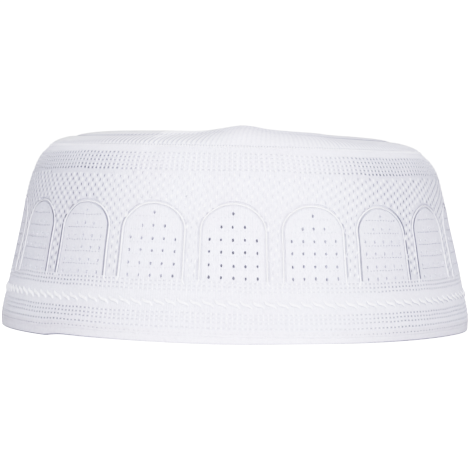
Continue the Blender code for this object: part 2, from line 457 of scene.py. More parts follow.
class SharedEffects:
    """The node groups that more than one finish uses, each made once."""

    vector = "NodeSocketVector"
    number = "NodeSocketFloat"
    colour = "NodeSocketColor"
    # how far the height falls along a stitch and between two satin threads, as a share of it
    stitch_fall = 0.22
    thread_fall = 0.5
    broad_noise = {"Scale": 38.0, "Detail": 2.0}
    fine_noise = {"Scale": 900.0, "Detail": 3.0}
    patch_range = {"From Min": 0.38, "From Max": 0.66}
    # how the fine noise becomes specks: a factor, and what is added
    speck = (0.5, -0.23)

    @staticmethod
    def _group(
        name: str, inputs: dict[str, str], outputs: dict[str, str]
    ) -> tuple[NodeBoard, dict[str, bpy.types.NodeSocket]]:
        """Starts a node group.

        Args:
            name: the group's name.
            inputs: the kind of each input, by name.
            outputs: the kind of each output, by name.

        Returns:
            A board on the group's tree, and the sockets that bring its inputs, by name.
        """
        tree = bpy.data.node_groups.new(name, "ShaderNodeTree")
        for direction, sockets in (("INPUT", inputs), ("OUTPUT", outputs)):
            for label, kind in sockets.items():
                tree.interface.new_socket(name=label, in_out=direction, socket_type=kind)
        board = NodeBoard(tree)
        return board, {socket.name: socket for socket in board.add("NodeGroupInput").outputs}

    def _relief(self, name: str, *sizes: str) -> tuple[NodeBoard, dict[str, bpy.types.NodeSocket]]:
        """Starts a group that puts out the height of threads.

        Args:
            name: the group's name.
            sizes: the names of the numbers that it reads beside the flat place.

        Returns:
            A board on the group's tree, and its inputs by name, with the flat place's X and Y.
        """
        inputs = {"Flat": self.vector, **dict.fromkeys(sizes, self.number)}
        board, given = self._group(name, inputs, {"Height": self.number})
        flat = board.add("ShaderNodeSeparateXYZ", {0: given["Flat"]}).outputs
        return board, {**given, "X": flat["X"], "Y": flat["Y"]}

    @cached_property
    def knit_relief(self) -> bpy.types.NodeTree:
        """Columns of V stitches: reads flat millimetres, puts out the height of the yarn, 0 to 1.

        Returns:
            The group.
        """
        board, given = self._relief("knit_relief", "Column width", "Row height", "Slant")
        column = board.math("DIVIDE", given["X"], given["Column width"])
        within = board.math("ABSOLUTE", board.math("SUBTRACT", board.math("FRACT", column), 0.5))
        rounded = board.math("SUBTRACT", 1.0, board.math("POWER", board.math("MULTIPLY", within, 2.0), 2.0))
        row = board.math("DIVIDE", given["Y"], given["Row height"])
        leg = board.math("MULTIPLY_ADD", within, given["Slant"], row)
        loop = board.math("SINE", board.math("MULTIPLY", leg, math.tau))
        yarn = board.math("MULTIPLY_ADD", loop, self.stitch_fall, 1.0 - self.stitch_fall)
        board.add("NodeGroupOutput", {"Height": board.math("MULTIPLY", rounded, yarn)})
        return board.tree

    @cached_property
    def satin_relief(self) -> bpy.types.NodeTree:
        """Fine threads laid side by side: reads millimetres along and across, puts out a height.

        Returns:
            The group.
        """
        board, given = self._relief("satin_relief", "Thread width", "Slant")
        along = board.math("MULTIPLY_ADD", given["Y"], given["Slant"], given["X"])
        thread = board.math("DIVIDE", along, given["Thread width"])
        wave = board.math("SINE", board.math("MULTIPLY", thread, math.tau))
        height = board.math("MULTIPLY_ADD", wave, self.thread_fall, 1.0 - self.thread_fall)
        board.add("NodeGroupOutput", {"Height": height})
        return board.tree

    @cached_property
    def cloth_tone(self) -> bpy.types.NodeTree:
        """The cloth's colour, with soft uneven patches, darker where shade is painted on and whiter where
        light is painted on.

        Returns:
            The group.
        """
        numbers = dict.fromkeys(("Painted shade", "Painted light"), self.number)
        colours = dict.fromkeys(("Cloth", "Patch", "Depth"), self.colour)
        board, given = self._group(
            "cloth_tone",
            {"Place": self.vector, **numbers, **colours},
            {"Colour": self.colour, "Unevenness": self.number},
        )
        broad, fine = [
            board.add("ShaderNodeTexNoise", {"Vector": given["Place"], **noise}).outputs["Fac"]
            for noise in (self.broad_noise, self.fine_noise)
        ]
        spread = board.add("ShaderNodeMapRange", {"Value": broad, **self.patch_range}).outputs["Result"]
        patched = board.mix(spread, given["Cloth"], given["Patch"])
        speck = board.math("MAXIMUM", board.math("MULTIPLY_ADD", fine, *self.speck), 0.0)
        # painted shade, with fine random specks, darkens the colour towards the shade colour; painted light
        # whitens it
        painted_shade_and_specks = board.math("ADD", given["Painted shade"], speck)
        with_painted_shade_and_specks = board.mix(board.math("MINIMUM", painted_shade_and_specks, 1.0), patched, given["Depth"])
        painted_light = board.mix(board.math("MINIMUM", given["Painted light"], 1.0), with_painted_shade_and_specks, WHITE)
        board.add("NodeGroupOutput", {"Colour": painted_light, "Unevenness": fine})
        return board.tree


class Yarn(Enum):
    """How the thread of a finish lies."""

    KNIT = "knit"
    SATIN = "satin"


@dataclass(frozen=True)
class ClothFinish:
    """One finish of white cotton, from its threads to its colour."""

    name: str
    slot: str
    yarn: Yarn = Yarn.KNIT
    cloth: tuple[float, float, float] = (0.852, 0.856, 0.922)
    patch: tuple[float, float, float] = (0.848, 0.84, 0.908)
    # the colour that painted shade darkens the cloth towards
    depth: tuple[float, float, float] = (0.24, 0.24, 0.31)
    # how much of the painted shade in hollows is kept at the cap's front and back, where the front light
    # would fill them
    painted_shade_in_front: float = 0.15
    column_width: float = 0.9055
    row_height: float = 0.62
    slant: float = 1.1
    relief: float = 0.10
    roughness: float = 0.82
    sheen: float = 0.12
    specular: float = 0.25
    see_through: float = 0.34
    # how much of a full stitch's painted light is kept at the cap's sides, below 0 where painted shade takes
    # its place there
    painted_light_aside: float = 1.0
    # where the painted shade starts to grow and is full, from 0 at the cap's front and back to 1 at its sides
    side_range: tuple[float, float] = (0.045, 0.26)
    sheen_roughness: float = 0.5
    # how much the cotton's fuzz adds to the height of its threads
    fuzz: float = 0.35

    def _shading(
        self, board: NodeBoard, place: bpy.types.NodeSocket, painted_mark: bpy.types.NodeSocket
    ) -> tuple[bpy.types.NodeSocket, bpy.types.NodeSocket]:
        """Works out the painted shade and the painted light by where a place lies round the cap.

        Args:
            board: the material's nodes.
            place: the place on the cap.
            painted_mark: the attribute of painted shade there, below 0 for painted light.

        Returns:
            How much shade is painted on the place, and how much light.
        """
        # painted shade and light grow from the cap's front and back to its sides, where the front light would
        # leave hollows dark
        level = board.add("ShaderNodeVectorMath", {0: place, 1: (1.0, 1.0, 0.0)}, operation="MULTIPLY")
        outwards = board.add("ShaderNodeVectorMath", {0: level.outputs[0]}, operation="NORMALIZE")
        ahead = board.add("ShaderNodeSeparateXYZ", {0: outwards.outputs[0]}).outputs["Y"]
        sideways = board.math("SUBTRACT", 1.0, board.math("ABSOLUTE", ahead))
        low, high = self.side_range
        shares = {"From Min": low, "From Max": high, "To Min": self.painted_shade_in_front, "To Max": 1.0}
        aside = board.add("ShaderNodeMapRange", {"Value": sideways, **shares}).outputs["Result"]
        in_line = board.math("MAXIMUM", board.math("SUBTRACT", painted_mark, 1.0), 0.0)
        lit_line = board.math("MULTIPLY", in_line, board.math("SUBTRACT", 1.0, aside))
        full = board.math("MAXIMUM", board.math("MULTIPLY", painted_mark, -1.0), 0.0)
        light = board.math("MULTIPLY", full, board.math("MULTIPLY_ADD", aside, self.painted_light_aside - 1.0, 1.0))
        painted_light = board.math("ADD", board.math("MAXIMUM", light, 0.0), lit_line)
        shade = board.math("MULTIPLY", board.math("MAXIMUM", painted_mark, 0.0), aside)
        return board.math("SUBTRACT", shade, board.math("MINIMUM", light, 0.0)), painted_light

    def material(self, effects: SharedEffects) -> bpy.types.Material:
        """Makes the material once and returns it.

        Args:
            effects: the shared node groups.

        Returns:
            A material that reads the piece's own layout, and its attribute of painted shade and light: above
            0 for shade painted in hollows, darkest at the cap's sides, above 1 for narrow ones that are also
            painted light at its front and back, and below 0 for full stitches with painted light.
        """
        if self.name in bpy.data.materials:
            return bpy.data.materials[self.name]
        made = bpy.data.materials.new(self.name)
        board = NodeBoard.on(made)
        flat = board.add("ShaderNodeUVMap", uv_map="cloth").outputs["UV"]
        place = board.add("ShaderNodeTexCoord").outputs["Object"]
        # this attribute holds painted shade, and painted light below 0
        painted_mark = board.add("ShaderNodeAttribute", attribute_name="painted_shading").outputs["Fac"]
        painted_shading, painted_light = self._shading(board, place, painted_mark)
        colours = {"Cloth": self.cloth, "Patch": self.patch, "Depth": self.depth}
        tone = board.add(
            "ShaderNodeGroup",
            {
                "Place": place, "Painted shade": painted_shading, "Painted light": painted_light,
                **{name: (*colour, 1.0) for name, colour in colours.items()},
            },
            node_tree=effects.cloth_tone,
        ).outputs
        if self.yarn is Yarn.KNIT:
            relief = effects.knit_relief
            sizes = {"Column width": self.column_width, "Row height": self.row_height}
        else:
            relief = effects.satin_relief
            sizes = {"Thread width": self.column_width}
        threads = board.add(
            "ShaderNodeGroup", {"Flat": flat, "Slant": self.slant, **sizes}, node_tree=relief
        ).outputs["Height"]
        height = board.math("MULTIPLY_ADD", tone["Unevenness"], self.fuzz, threads)
        bump = board.add(
            "ShaderNodeBump", {"Height": height, "Strength": 1.0, "Distance": self.relief * MM}
        ).outputs["Normal"]
        cloth = board.add(
            "ShaderNodeBsdfPrincipled",
            {
                "Base Color": tone["Colour"],
                "Roughness": self.roughness,
                "Specular IOR Level": self.specular,
                "Sheen Weight": self.sheen,
                "Sheen Roughness": self.sheen_roughness,
                "Normal": bump,
            },
        )
        glow = board.add("ShaderNodeBsdfTranslucent", {"Color": (*self.cloth, 1.0), "Normal": bump})
        board.add("ShaderNodeOutputMaterial", {"Surface": board.mix_shaders(self.see_through, cloth, glow)})
        return made


@dataclass(frozen=True)
class Opening:
    """A hole or a pit that is worked into one cell of the knitting, in millimetres.

    Tones are the shade painted on its walls and its floor at the cap's sides; above 1 they also paint light
    at its front and back.
    """

    width: float
    height: float
    sink: float = 0.35
    wall_tone: float = 1.3
    floor_tone: float = 0.75
    splits: int = 1


class FlatKnit:
    """Cloth laid out flat on a grid of named columns and rows."""

    inset_share = 0.16
    weld = 0.002
    # how unevenly openings lie, in millimetres, and how many times that share their sizes differ by
    unevenness = 0.05
    size_spread = 1.5
    # how much of its cell an opening may fill
    fill = 0.82
    # how little painted light the least full stitch gets, as a share
    least_painted_light = 0.4
    # the shade painted on the cloth's sides
    side_tone = 0.3

    def __init__(self, columns: Sequence[float], rows: Sequence[float], seed: int = 1) -> None:
        """Makes the grid.

        Args:
            columns: the x of each line between cells.
            rows: the y of each line between cells.
            seed: starts the small differences between openings.
        """
        self.chance = np.random.default_rng(seed)
        self.mesh = bmesh.new()
        # each corner's painted shade, or painted light below 0
        self.tone = self.mesh.loops.layers.float.new("painted_shading")
        across, up = len(columns) - 1, len(rows) - 1
        bmesh.ops.create_grid(self.mesh, x_segments=across, y_segments=up, size=0.5)
        self.cells: dict[Cell, bmesh.types.BMFace] = {}
        for face in self.mesh.faces:
            middle = face.calc_center_median()
            self.cells[int((middle.x + 0.5) * across), int((middle.y + 0.5) * up)] = face
        for vert in self.mesh.verts:
            i, j = round((vert.co.x + 0.5) * across), round((vert.co.y + 0.5) * up)
            vert.co = (columns[i], rows[j], 0.0)

    def shade(self, face: bmesh.types.BMFace, tone: float) -> None:
        """Paints shade onto a face, or light where the tone is below 0."""
        for loop in face.loops:
            loop[self.tone] = tone

    def cells_where(self, chosen: Callable[[float, float], bool]) -> list[Cell]:
        """The cells whose middle is chosen."""
        return [cell for cell, face in self.cells.items() if chosen(*face.calc_center_median().xy)]

    @staticmethod
    def _frame(face: bmesh.types.BMFace) -> tuple[Vector, Vector, Vector, float, float]:
        """A cell's own frame.

        Args:
            face: the cell.

        Returns:
            Its middle, its directions across and up, and how far it reaches along them.
        """
        corners = [vert.co for vert in face.verts]
        across = Vector()
        for start, end in zip(corners, corners[1:] + corners[:1]):
            side = end - start
            if abs(side.x) > abs(side.y):
                across += side if side.x > 0.0 else -side
        across.normalize()
        middle, up = face.calc_center_median(), Vector((-across.y, across.x, 0.0))
        reach = [min(abs((corner - middle).dot(way)) for corner in corners) for way in (across, up)]
        return middle, across, up, *reach

    def _ovals(self, cells: Iterable[Cell], shape: Opening) -> list[bmesh.types.BMFace]:
        """Works an oval face into each of the cells.

        Args:
            cells: the cells.
            shape: the ovals' size.

        Returns:
            The ovals.
        """
        faces = [self.cells[cell] for cell in cells]
        frames = [self._frame(face) for face in faces]
        least = min(min(edge.calc_length() for edge in face.edges) for face in faces)
        bmesh.ops.inset_individual(self.mesh, faces=faces, thickness=least * self.inset_share)
        edges = [edge for face in faces for edge in face.edges]
        bmesh.ops.bisect_edges(self.mesh, edges=edges, cuts=shape.splits)
        for face, (middle, across, up, room_x, room_y) in zip(faces, frames):
            shift_x, shift_y, grow_x, grow_y = self.chance.normal(0.0, self.unevenness, 4)
            place = middle + across * shift_x + up * shift_y
            width = min(shape.width / 2 * (1.0 + self.size_spread * grow_x), self.fill * room_x)
            height = min(shape.height / 2 * (1.0 + self.size_spread * grow_y), self.fill * room_y)
            for vert in face.verts:
                away = vert.co - middle
                turn = math.atan2(away.dot(up) / height, away.dot(across) / width)
                vert.co = place + across * (width * math.cos(turn)) + up * (height * math.sin(turn))
        return faces

    def open(self, cells: Iterable[Cell], shape: Opening) -> None:
        """Cuts an oval hole through each of the cells, before the cloth is thickened."""
        gone = self._ovals(cells, shape)
        bmesh.ops.delete(self.mesh, geom=gone, context="FACES_ONLY")

    def pit(self, cells: Iterable[Cell], shape: Opening) -> None:
        """Sinks an oval pit into each of the cells.

        Args:
            cells: the cells, after the cloth is thickened.
            shape: the pits' size, and the shade painted on them.
        """
        ovals = self._ovals(cells, shape)
        floors = bmesh.ops.extrude_discrete_faces(self.mesh, faces=ovals)["faces"]
        # the pits' walls and floors get painted shade
        for floor in floors:
            for edge in floor.edges:
                for face in edge.link_faces:
                    self.shade(face, shape.wall_tone)
            for vert in floor.verts:
                vert.co.z -= shape.sink
            self.shade(floor, shape.floor_tone)

    def shade_cells(self, cells: Iterable[Cell], tone: float) -> None:
        """Paints shade over whole cells, such as falls where the yarn lies low round their stitches."""
        for cell in cells:
            self.shade(self.cells[cell], tone)

    def stud(self, cells: Iterable[Cell], shape: Opening, light: float) -> None:
        """Raises a rounded spot in each of the cells, as a full stitch stands up, and paints light on it.

        Args:
            cells: the cells, after the cloth is thickened.
            shape: its size, with a sink below 0 for how far it stands up.
            light: how much light is painted on the fullest spots.
        """
        spots = self._ovals(cells, shape)
        for face in spots:
            # each spot gets painted light of its own strength
            highlight = -light * self.chance.uniform(self.least_painted_light, 1.0)
            for vert in face.verts:
                vert.co.z -= shape.sink / 2
                for loop in vert.link_loops:
                    loop[self.tone] = 0.0
            self.shade(face, highlight)
        for vert in bmesh.ops.poke(self.mesh, faces=spots)["verts"]:
            vert.co.z -= shape.sink / 2

    def thicken(self, depth: float, ring: bool = True) -> list[bmesh.types.BMFace]:
        """Gives the cloth its back, and its sides at every edge and hole.

        Args:
            depth: how far behind the face the back lies.
            ring: whether the two ends meet round the cap, and so take no side between them.

        Returns:
            The side faces.
        """
        xs = [vert.co.x for vert in self.mesh.verts]
        ends = (min(xs), max(xs))
        made = bmesh.ops.extrude_face_region(self.mesh, geom=self.mesh.faces[:], use_keep_orig=True)
        back = {item for item in made["geom"] if isinstance(item, bmesh.types.BMVert)}
        for vert in back:
            vert.co.z -= depth
        sides = [
            face for face in self.mesh.faces
            if 0 < sum(vert in back for vert in face.verts) < len(face.verts)
        ]
        # the sides get painted shade
        for face in sides:
            self.shade(face, self.side_tone)
        if ring:
            shut = [
                face for face in sides
                if any(all(abs(vert.co.x - end) < self.weld for vert in face.verts) for end in ends)
            ]
            sides = [face for face in sides if face not in set(shut)]
            bmesh.ops.delete(self.mesh, geom=shut, context="FACES")
        return sides


class CapPiece:
    """What every dressed piece shares: its form, its finish, and how its mesh is put in the scene."""

    form = CapForm()
    effects = SharedEffects()
    sharp_angle = math.radians(58.0)
    weld = 1e-6

    @classmethod
    def finished(
        cls, name: str, flat: bmesh.types.BMesh, place: Place, finish: ClothFinish,
        level_within: float = -math.inf,
    ) -> bpy.types.Object:
        """Wraps a flat mesh onto the cap and makes it a piece that rides on the cap.

        Args:
            name: the piece's name.
            flat: the mesh in flat millimetres, which is freed.
            place: where the form puts flat points, in millimetres.
            finish: its finish.
            level_within: below this flat y the stitches lie as seen from above, as in a round piece's middle.

        Returns:
            The piece, at the origin, with its place in its mesh.
        """
        data = mesh_data(name, flat)
        points = np.empty(len(data.vertices) * 3, np.float32)
        data.vertices.foreach_get("co", points)
        points = points.reshape(-1, 3)
        corners = np.empty(len(data.loops), np.int32)
        data.loops.foreach_get("vertex_index", corners)
        starts, sizes = (np.empty(len(data.polygons), np.int32) for _ in range(2))
        data.polygons.foreach_get("loop_start", starts)
        data.polygons.foreach_get("loop_total", sizes)
        farthest = np.repeat(np.maximum.reduceat(points[corners, 1], starts), sizes)
        placed = place(points).astype(np.float32)
        stitches = np.where((farthest < level_within)[:, None], placed[corners, :2], points[corners, :2])
        data.uv_layers.new(name="cloth").data.foreach_set("uv", stitches.ravel())
        data.vertices.foreach_set("co", (placed * MM).ravel())
        mesh = bmesh.new()
        mesh.from_mesh(data)
        bmesh.ops.remove_doubles(mesh, verts=mesh.verts, dist=cls.weld)
        bmesh.ops.recalc_face_normals(mesh, faces=mesh.faces)
        mesh.to_mesh(data)
        triangles = len(mesh.calc_loop_triangles())
        mesh.free()
        data.shade_smooth()
        data.set_sharp_from_angle(angle=cls.sharp_angle)
        data.materials.append(finish.material(cls.effects))
        piece = put(name, data)
        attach(piece, BODY)
        log.info("%s: %d triangles", name, triangles)
        return piece


def spaced(start: float, end: float, count: int) -> list[float]:
    """The lines between count equal steps from start to end."""
    return [start + (end - start) * k / count for k in range(count + 1)]


def snip(mesh: bmesh.types.BMesh, place: Sequence[float], outwards: Sequence[float]) -> None:
    """Cuts away all of a mesh that lies beyond a plane."""
    whole = mesh.verts[:] + mesh.edges[:] + mesh.faces[:]
    bmesh.ops.bisect_plane(mesh, geom=whole, dist=SNIP, plane_co=place, plane_no=outwards, clear_outer=True)


def copies_round(mesh: bmesh.types.BMesh, count: int, step: float) -> None:
    """Copies a mesh so that a row of it goes round the cap.

    Args:
        mesh: the mesh, in flat millimetres.
        count: how many there are in the row.
        step: how far apart they stand.
    """
    first = mesh.verts[:] + mesh.edges[:] + mesh.faces[:]
    for number in range(1, count):
        copied = bmesh.ops.duplicate(mesh, geom=first)["geom"]
        verts = [item for item in copied if isinstance(item, bmesh.types.BMVert)]
        bmesh.ops.translate(mesh, verts=verts, vec=(number * step, 0.0, 0.0))


# the top keeps half its painted shade in front; satin crests are painted light in front and painted shade at
# the sides; leaves keep more painted shade in front and most painted light aside
WALL_FINISH = ClothFinish("knit_wall", "knit", relief=0.12)
PANEL_FINISH = ClothFinish("knit_panel", "knit", row_height=0.5, relief=0.11)
LOWER_FINISH = ClothFinish("knit_lower", "knit", row_height=0.55, relief=0.13)
TOP_FINISH = ClothFinish("knit_top", "knit", painted_shade_in_front=0.5, column_width=1.1, row_height=0.8)
HEM_FINISH = ClothFinish(
    "hem_cloth", "hem", cloth=(0.858, 0.852, 0.91), patch=(0.85, 0.838, 0.9), row_height=0.5, relief=0.07
)
SEAM_FINISH = ClothFinish(
    "seam_thread", "satin_cord", yarn=Yarn.SATIN, cloth=(0.87, 0.87, 0.92), patch=(0.86, 0.855, 0.91),
    column_width=0.3, slant=0.5, relief=0.04,
)
SATIN_FINISH = replace(
    SEAM_FINISH, name="satin_thread", cloth=(0.90, 0.903, 0.955), patch=(0.89, 0.885, 0.94), relief=0.05,
    roughness=0.6, sheen=0.2, specular=0.35, see_through=0.22, painted_light_aside=-0.5,
)
LEAF_FINISH = replace(
    SATIN_FINISH, name="leaf_thread", cloth=(0.875, 0.878, 0.935), patch=(0.865, 0.86, 0.925),
    painted_shade_in_front=0.35, painted_light_aside=0.9,
)

# pits, with shade painted on their walls and floors
HEAVY_DOT = Opening(1.2, 0.82, 0.36, floor_tone=1.0)
SMALL_DOT = Opening(0.98, 0.66, 0.28, floor_tone=1.0)
LOWER_DOT = Opening(0.8, 0.56, 0.3, floor_tone=0.85)
FINE_DOT = Opening(0.76, 0.48, 0.24, floor_tone=0.65)


@dataclass
class ArchShape:
    """The outline that each arch's cord follows, in flat millimetres from the arch's middle."""

    half_angle: float = 8.0
    foot: float = 20.7
    spring: float = 39.95
    rise: float = 9.9
    # the shade painted on a leg's edge where it is hidden from the front, and how soon that is full round the
    # cap
    edge_tone: float = 1.5
    side_reach: float = 2.5
    flare_height: float = 0.7
    head_points: int = 48
    leg_points: int = 40

    @property
    def half_width(self) -> float:
        """Half the flat width between the legs."""
        return CapPiece.form.width_of(self.half_angle)

    @property
    def crown(self) -> float:
        """The height of the outline's top."""
        return self.spring + self.rise

    def covered(self, bottom: float, margin: float) -> float:
        """The flat area inside the outline, moved outwards by a margin, above a height."""
        half = self.half_width + margin
        return 2 * half * (self.spring - bottom) + math.pi / 2 * half * (self.rise + margin)

    @staticmethod
    def nearest(x: np.ndarray | float) -> np.ndarray | float:
        """How far aside of the nearest arch's middle a flat place lies."""
        pitch = CapPiece.form.pitch
        return (x + pitch / 2) % pitch - pitch / 2

    def outside(self, x: np.ndarray, y: np.ndarray) -> tuple[np.ndarray, np.ndarray, np.ndarray]:
        """How far points lie outside the outline.

        Args:
            x: distances aside of the arch's middle.
            y: heights.

        Returns:
            The distance, below 0 within the outline, and the direction away from it across and up.
        """
        up = np.maximum(np.asarray(y, float) - self.spring, 0.0)
        level = np.maximum(np.hypot(x / self.half_width, up / self.rise), LEAST)
        across, along = x / (self.half_width**2 * level), up / (self.rise**2 * level)
        size = np.maximum(np.hypot(across, along), LEAST)
        return (level - 1.0) / size, across / size, along / size

    def edge_shade(self, x: float, y: float) -> float:
        """The shade painted on an edge: most where the cord's legs would hide the light of the front.

        Args:
            x: the edge's flat place round the cap.
            y: its height.

        Returns:
            The shade painted on the edge.
        """
        away, across, _ = self.outside(self.nearest(x), y)
        turned = self.side_reach * math.sin(x / CapPiece.form.ring_radius) * float(np.sign(away * across))
        hidden = 0.5 + 0.5 * max(-1.0, min(1.0, turned))
        return self.edge_tone * float(across) ** 2 * hidden

    def route(self, flare: float) -> np.ndarray:
        """The outline as points: up one leg, over the head and down the other.

        Args:
            flare: how far the feet turn outwards.

        Returns:
            One row of flat x and y for each point.
        """
        levels = np.linspace(self.foot, self.spring, self.leg_points)
        aside = self.half_width + flare * np.exp(-(((levels - self.foot) / self.flare_height) ** 2))
        turn = np.linspace(0.0, math.pi, self.head_points)[1:-1]
        head = np.column_stack((-self.half_width * np.cos(turn), self.spring + self.rise * np.sin(turn)))
        left, right = [np.column_stack((side * aside, levels)) for side in (-1.0, 1.0)]
        return np.concatenate((left, head, right[::-1]))


@dataclass(frozen=True)
class StraightGrain:
    """How the mesh's straight grain lies on the wall, as if the wall's cone were cut open and laid flat.

    The grain stands upright at one angle and leans more and more away from it.
    """

    upright_at: float = -43.37
    narrowing: float = 0.1895
    level: float = 61.0
    radius: float = 81.4

    @property
    def _slant(self) -> float:
        """How far the wall leans from upright, in radians."""
        return math.atan(self.narrowing)

    @property
    def _reach(self) -> float:
        """The distance along the wall from the hem's level to the cone's tip."""
        return (self.radius + self.level * self.narrowing) / math.sin(self._slant)

    def to_flat(self, u: np.ndarray, v: np.ndarray) -> tuple[np.ndarray, np.ndarray]:
        """Turns places on the grain into flat ones.

        Args:
            u: places across the grain.
            v: places along it.

        Returns:
            Their flat x and y.
        """
        away = np.hypot(u, self._reach - v)
        turn = np.arctan2(u, self._reach - v) / math.sin(self._slant) + math.radians(self.upright_at)
        return turn * CapPiece.form.ring_radius, (self._reach - away) * math.cos(self._slant)

    def to_grain(self, x: np.ndarray, y: np.ndarray) -> tuple[np.ndarray, np.ndarray]:
        """Turns flat places into places on the grain.

        Args:
            x: flat places round the cap.
            y: their heights.

        Returns:
            The places across and along the grain.
        """
        away = self._reach - y / math.cos(self._slant)
        turn = (x / CapPiece.form.ring_radius - math.radians(self.upright_at)) * math.sin(self._slant)
        return away * np.sin(turn), self._reach - away * np.cos(turn)


@dataclass
class DottedBand(CapPiece):
    """A band of cloth that runs round the wall, with rows of small pits."""
    name: str
    finish: ClothFinish
    holes_per_arch: int
    lines: tuple[float, ...]
    # height, pit
    dotted: tuple[tuple[float, Opening], ...]
    depth: float = 1.5
    pit_share: float = 0.6
    row_reach: float = 0.12
    spot: Opening = Opening(0.5, 0.95, -0.2)
    # the painted light on its full stitches, and the painted shade on its dotted rows and on its plain cloth
    light: float = 0.9
    painted_ground_shade: float = 0.3
    plain_shade: float = 0.0

    @property
    def cut(self) -> Cut:
        """The band's flat size."""
        return self.form.strip(self.lines[0], self.lines[-1])

    def build(self) -> bpy.types.Object:
        """Knits the band, with a pit and a full stitch by turns along each dotted row.

        Returns:
            The band.
        """
        half, width = self.form.half_turn, self.form.pitch / self.holes_per_arch
        starts = spaced(-half, half, self.holes_per_arch * ARCH_COUNT)
        columns = [x for start in starts[:-1] for x in (start, start + self.pit_share * width)] + starts[-1:]
        cloth = FlatKnit(columns, self.lines)
        # painted shade over the plain cloth, and more over the dotted rows
        cloth.shade_cells(cloth.cells, self.plain_shade)
        rows, full = [], []
        for level, shape in self.dotted:
            cells = cloth.cells_where(lambda x, y, level=level: abs(y - level) < self.row_reach)
            rows.append(([cell for cell in cells if cell[0] % 2 == 0], shape))
            full += [cell for cell in cells if cell[0] % 2]
            cloth.shade_cells(cells, self.painted_ground_shade)
        cloth.thicken(self.depth)
        for cells, shape in rows:
            cloth.pit(cells, shape)
        cloth.stud(full, self.spot, self.light)
        return self.finished(self.name, cloth.mesh, self.form.wall, self.finish)


@dataclass
class TopRows(DottedBand):
    """The band of dotted rows under the seam, with its plain strip above them."""

    name: str = "top_rows"
    finish: ClothFinish = WALL_FINISH
    holes_per_arch: int = 14
    lines: tuple[float, ...] = (61.5, 62.5, 64.2, 65.6, 67.1, 68.5, 69.8, 71.1)
    dotted: tuple[tuple[float, Opening], ...] = (
        (61.95, HEAVY_DOT), (63.45, SMALL_DOT), (64.9, SMALL_DOT), (66.35, SMALL_DOT), (67.8, SMALL_DOT),
    )


@dataclass
class LowerBand(DottedBand):
    """The band under the arches: dotted rows, and the plain strip that carries the leaf row."""

    name: str = "lower_band"
    finish: ClothFinish = LOWER_FINISH
    holes_per_arch: int = 17
    lines: tuple[float, ...] = (
        4.6, 5.1, 6.0, 7.25, 8.15, 8.75, 9.65, 10.25, 11.15, 12.3, 14.0, 16.0, 17.4, 18.4, 19.3,
        19.9, 20.8, 21.35, 22.25, 22.6,
    )
    dotted: tuple[tuple[float, Opening], ...] = (
        (5.55, LOWER_DOT), (7.7, LOWER_DOT), (9.2, LOWER_DOT), (10.7, LOWER_DOT),
        (18.85, FINE_DOT), (20.35, LOWER_DOT), (21.8, FINE_DOT),
    )
    depth: float = 1.6
    spot: Opening = Opening(0.4, 0.66, -0.16)
    # a light painted shade over its plain cloth
    plain_shade: float = 0.06


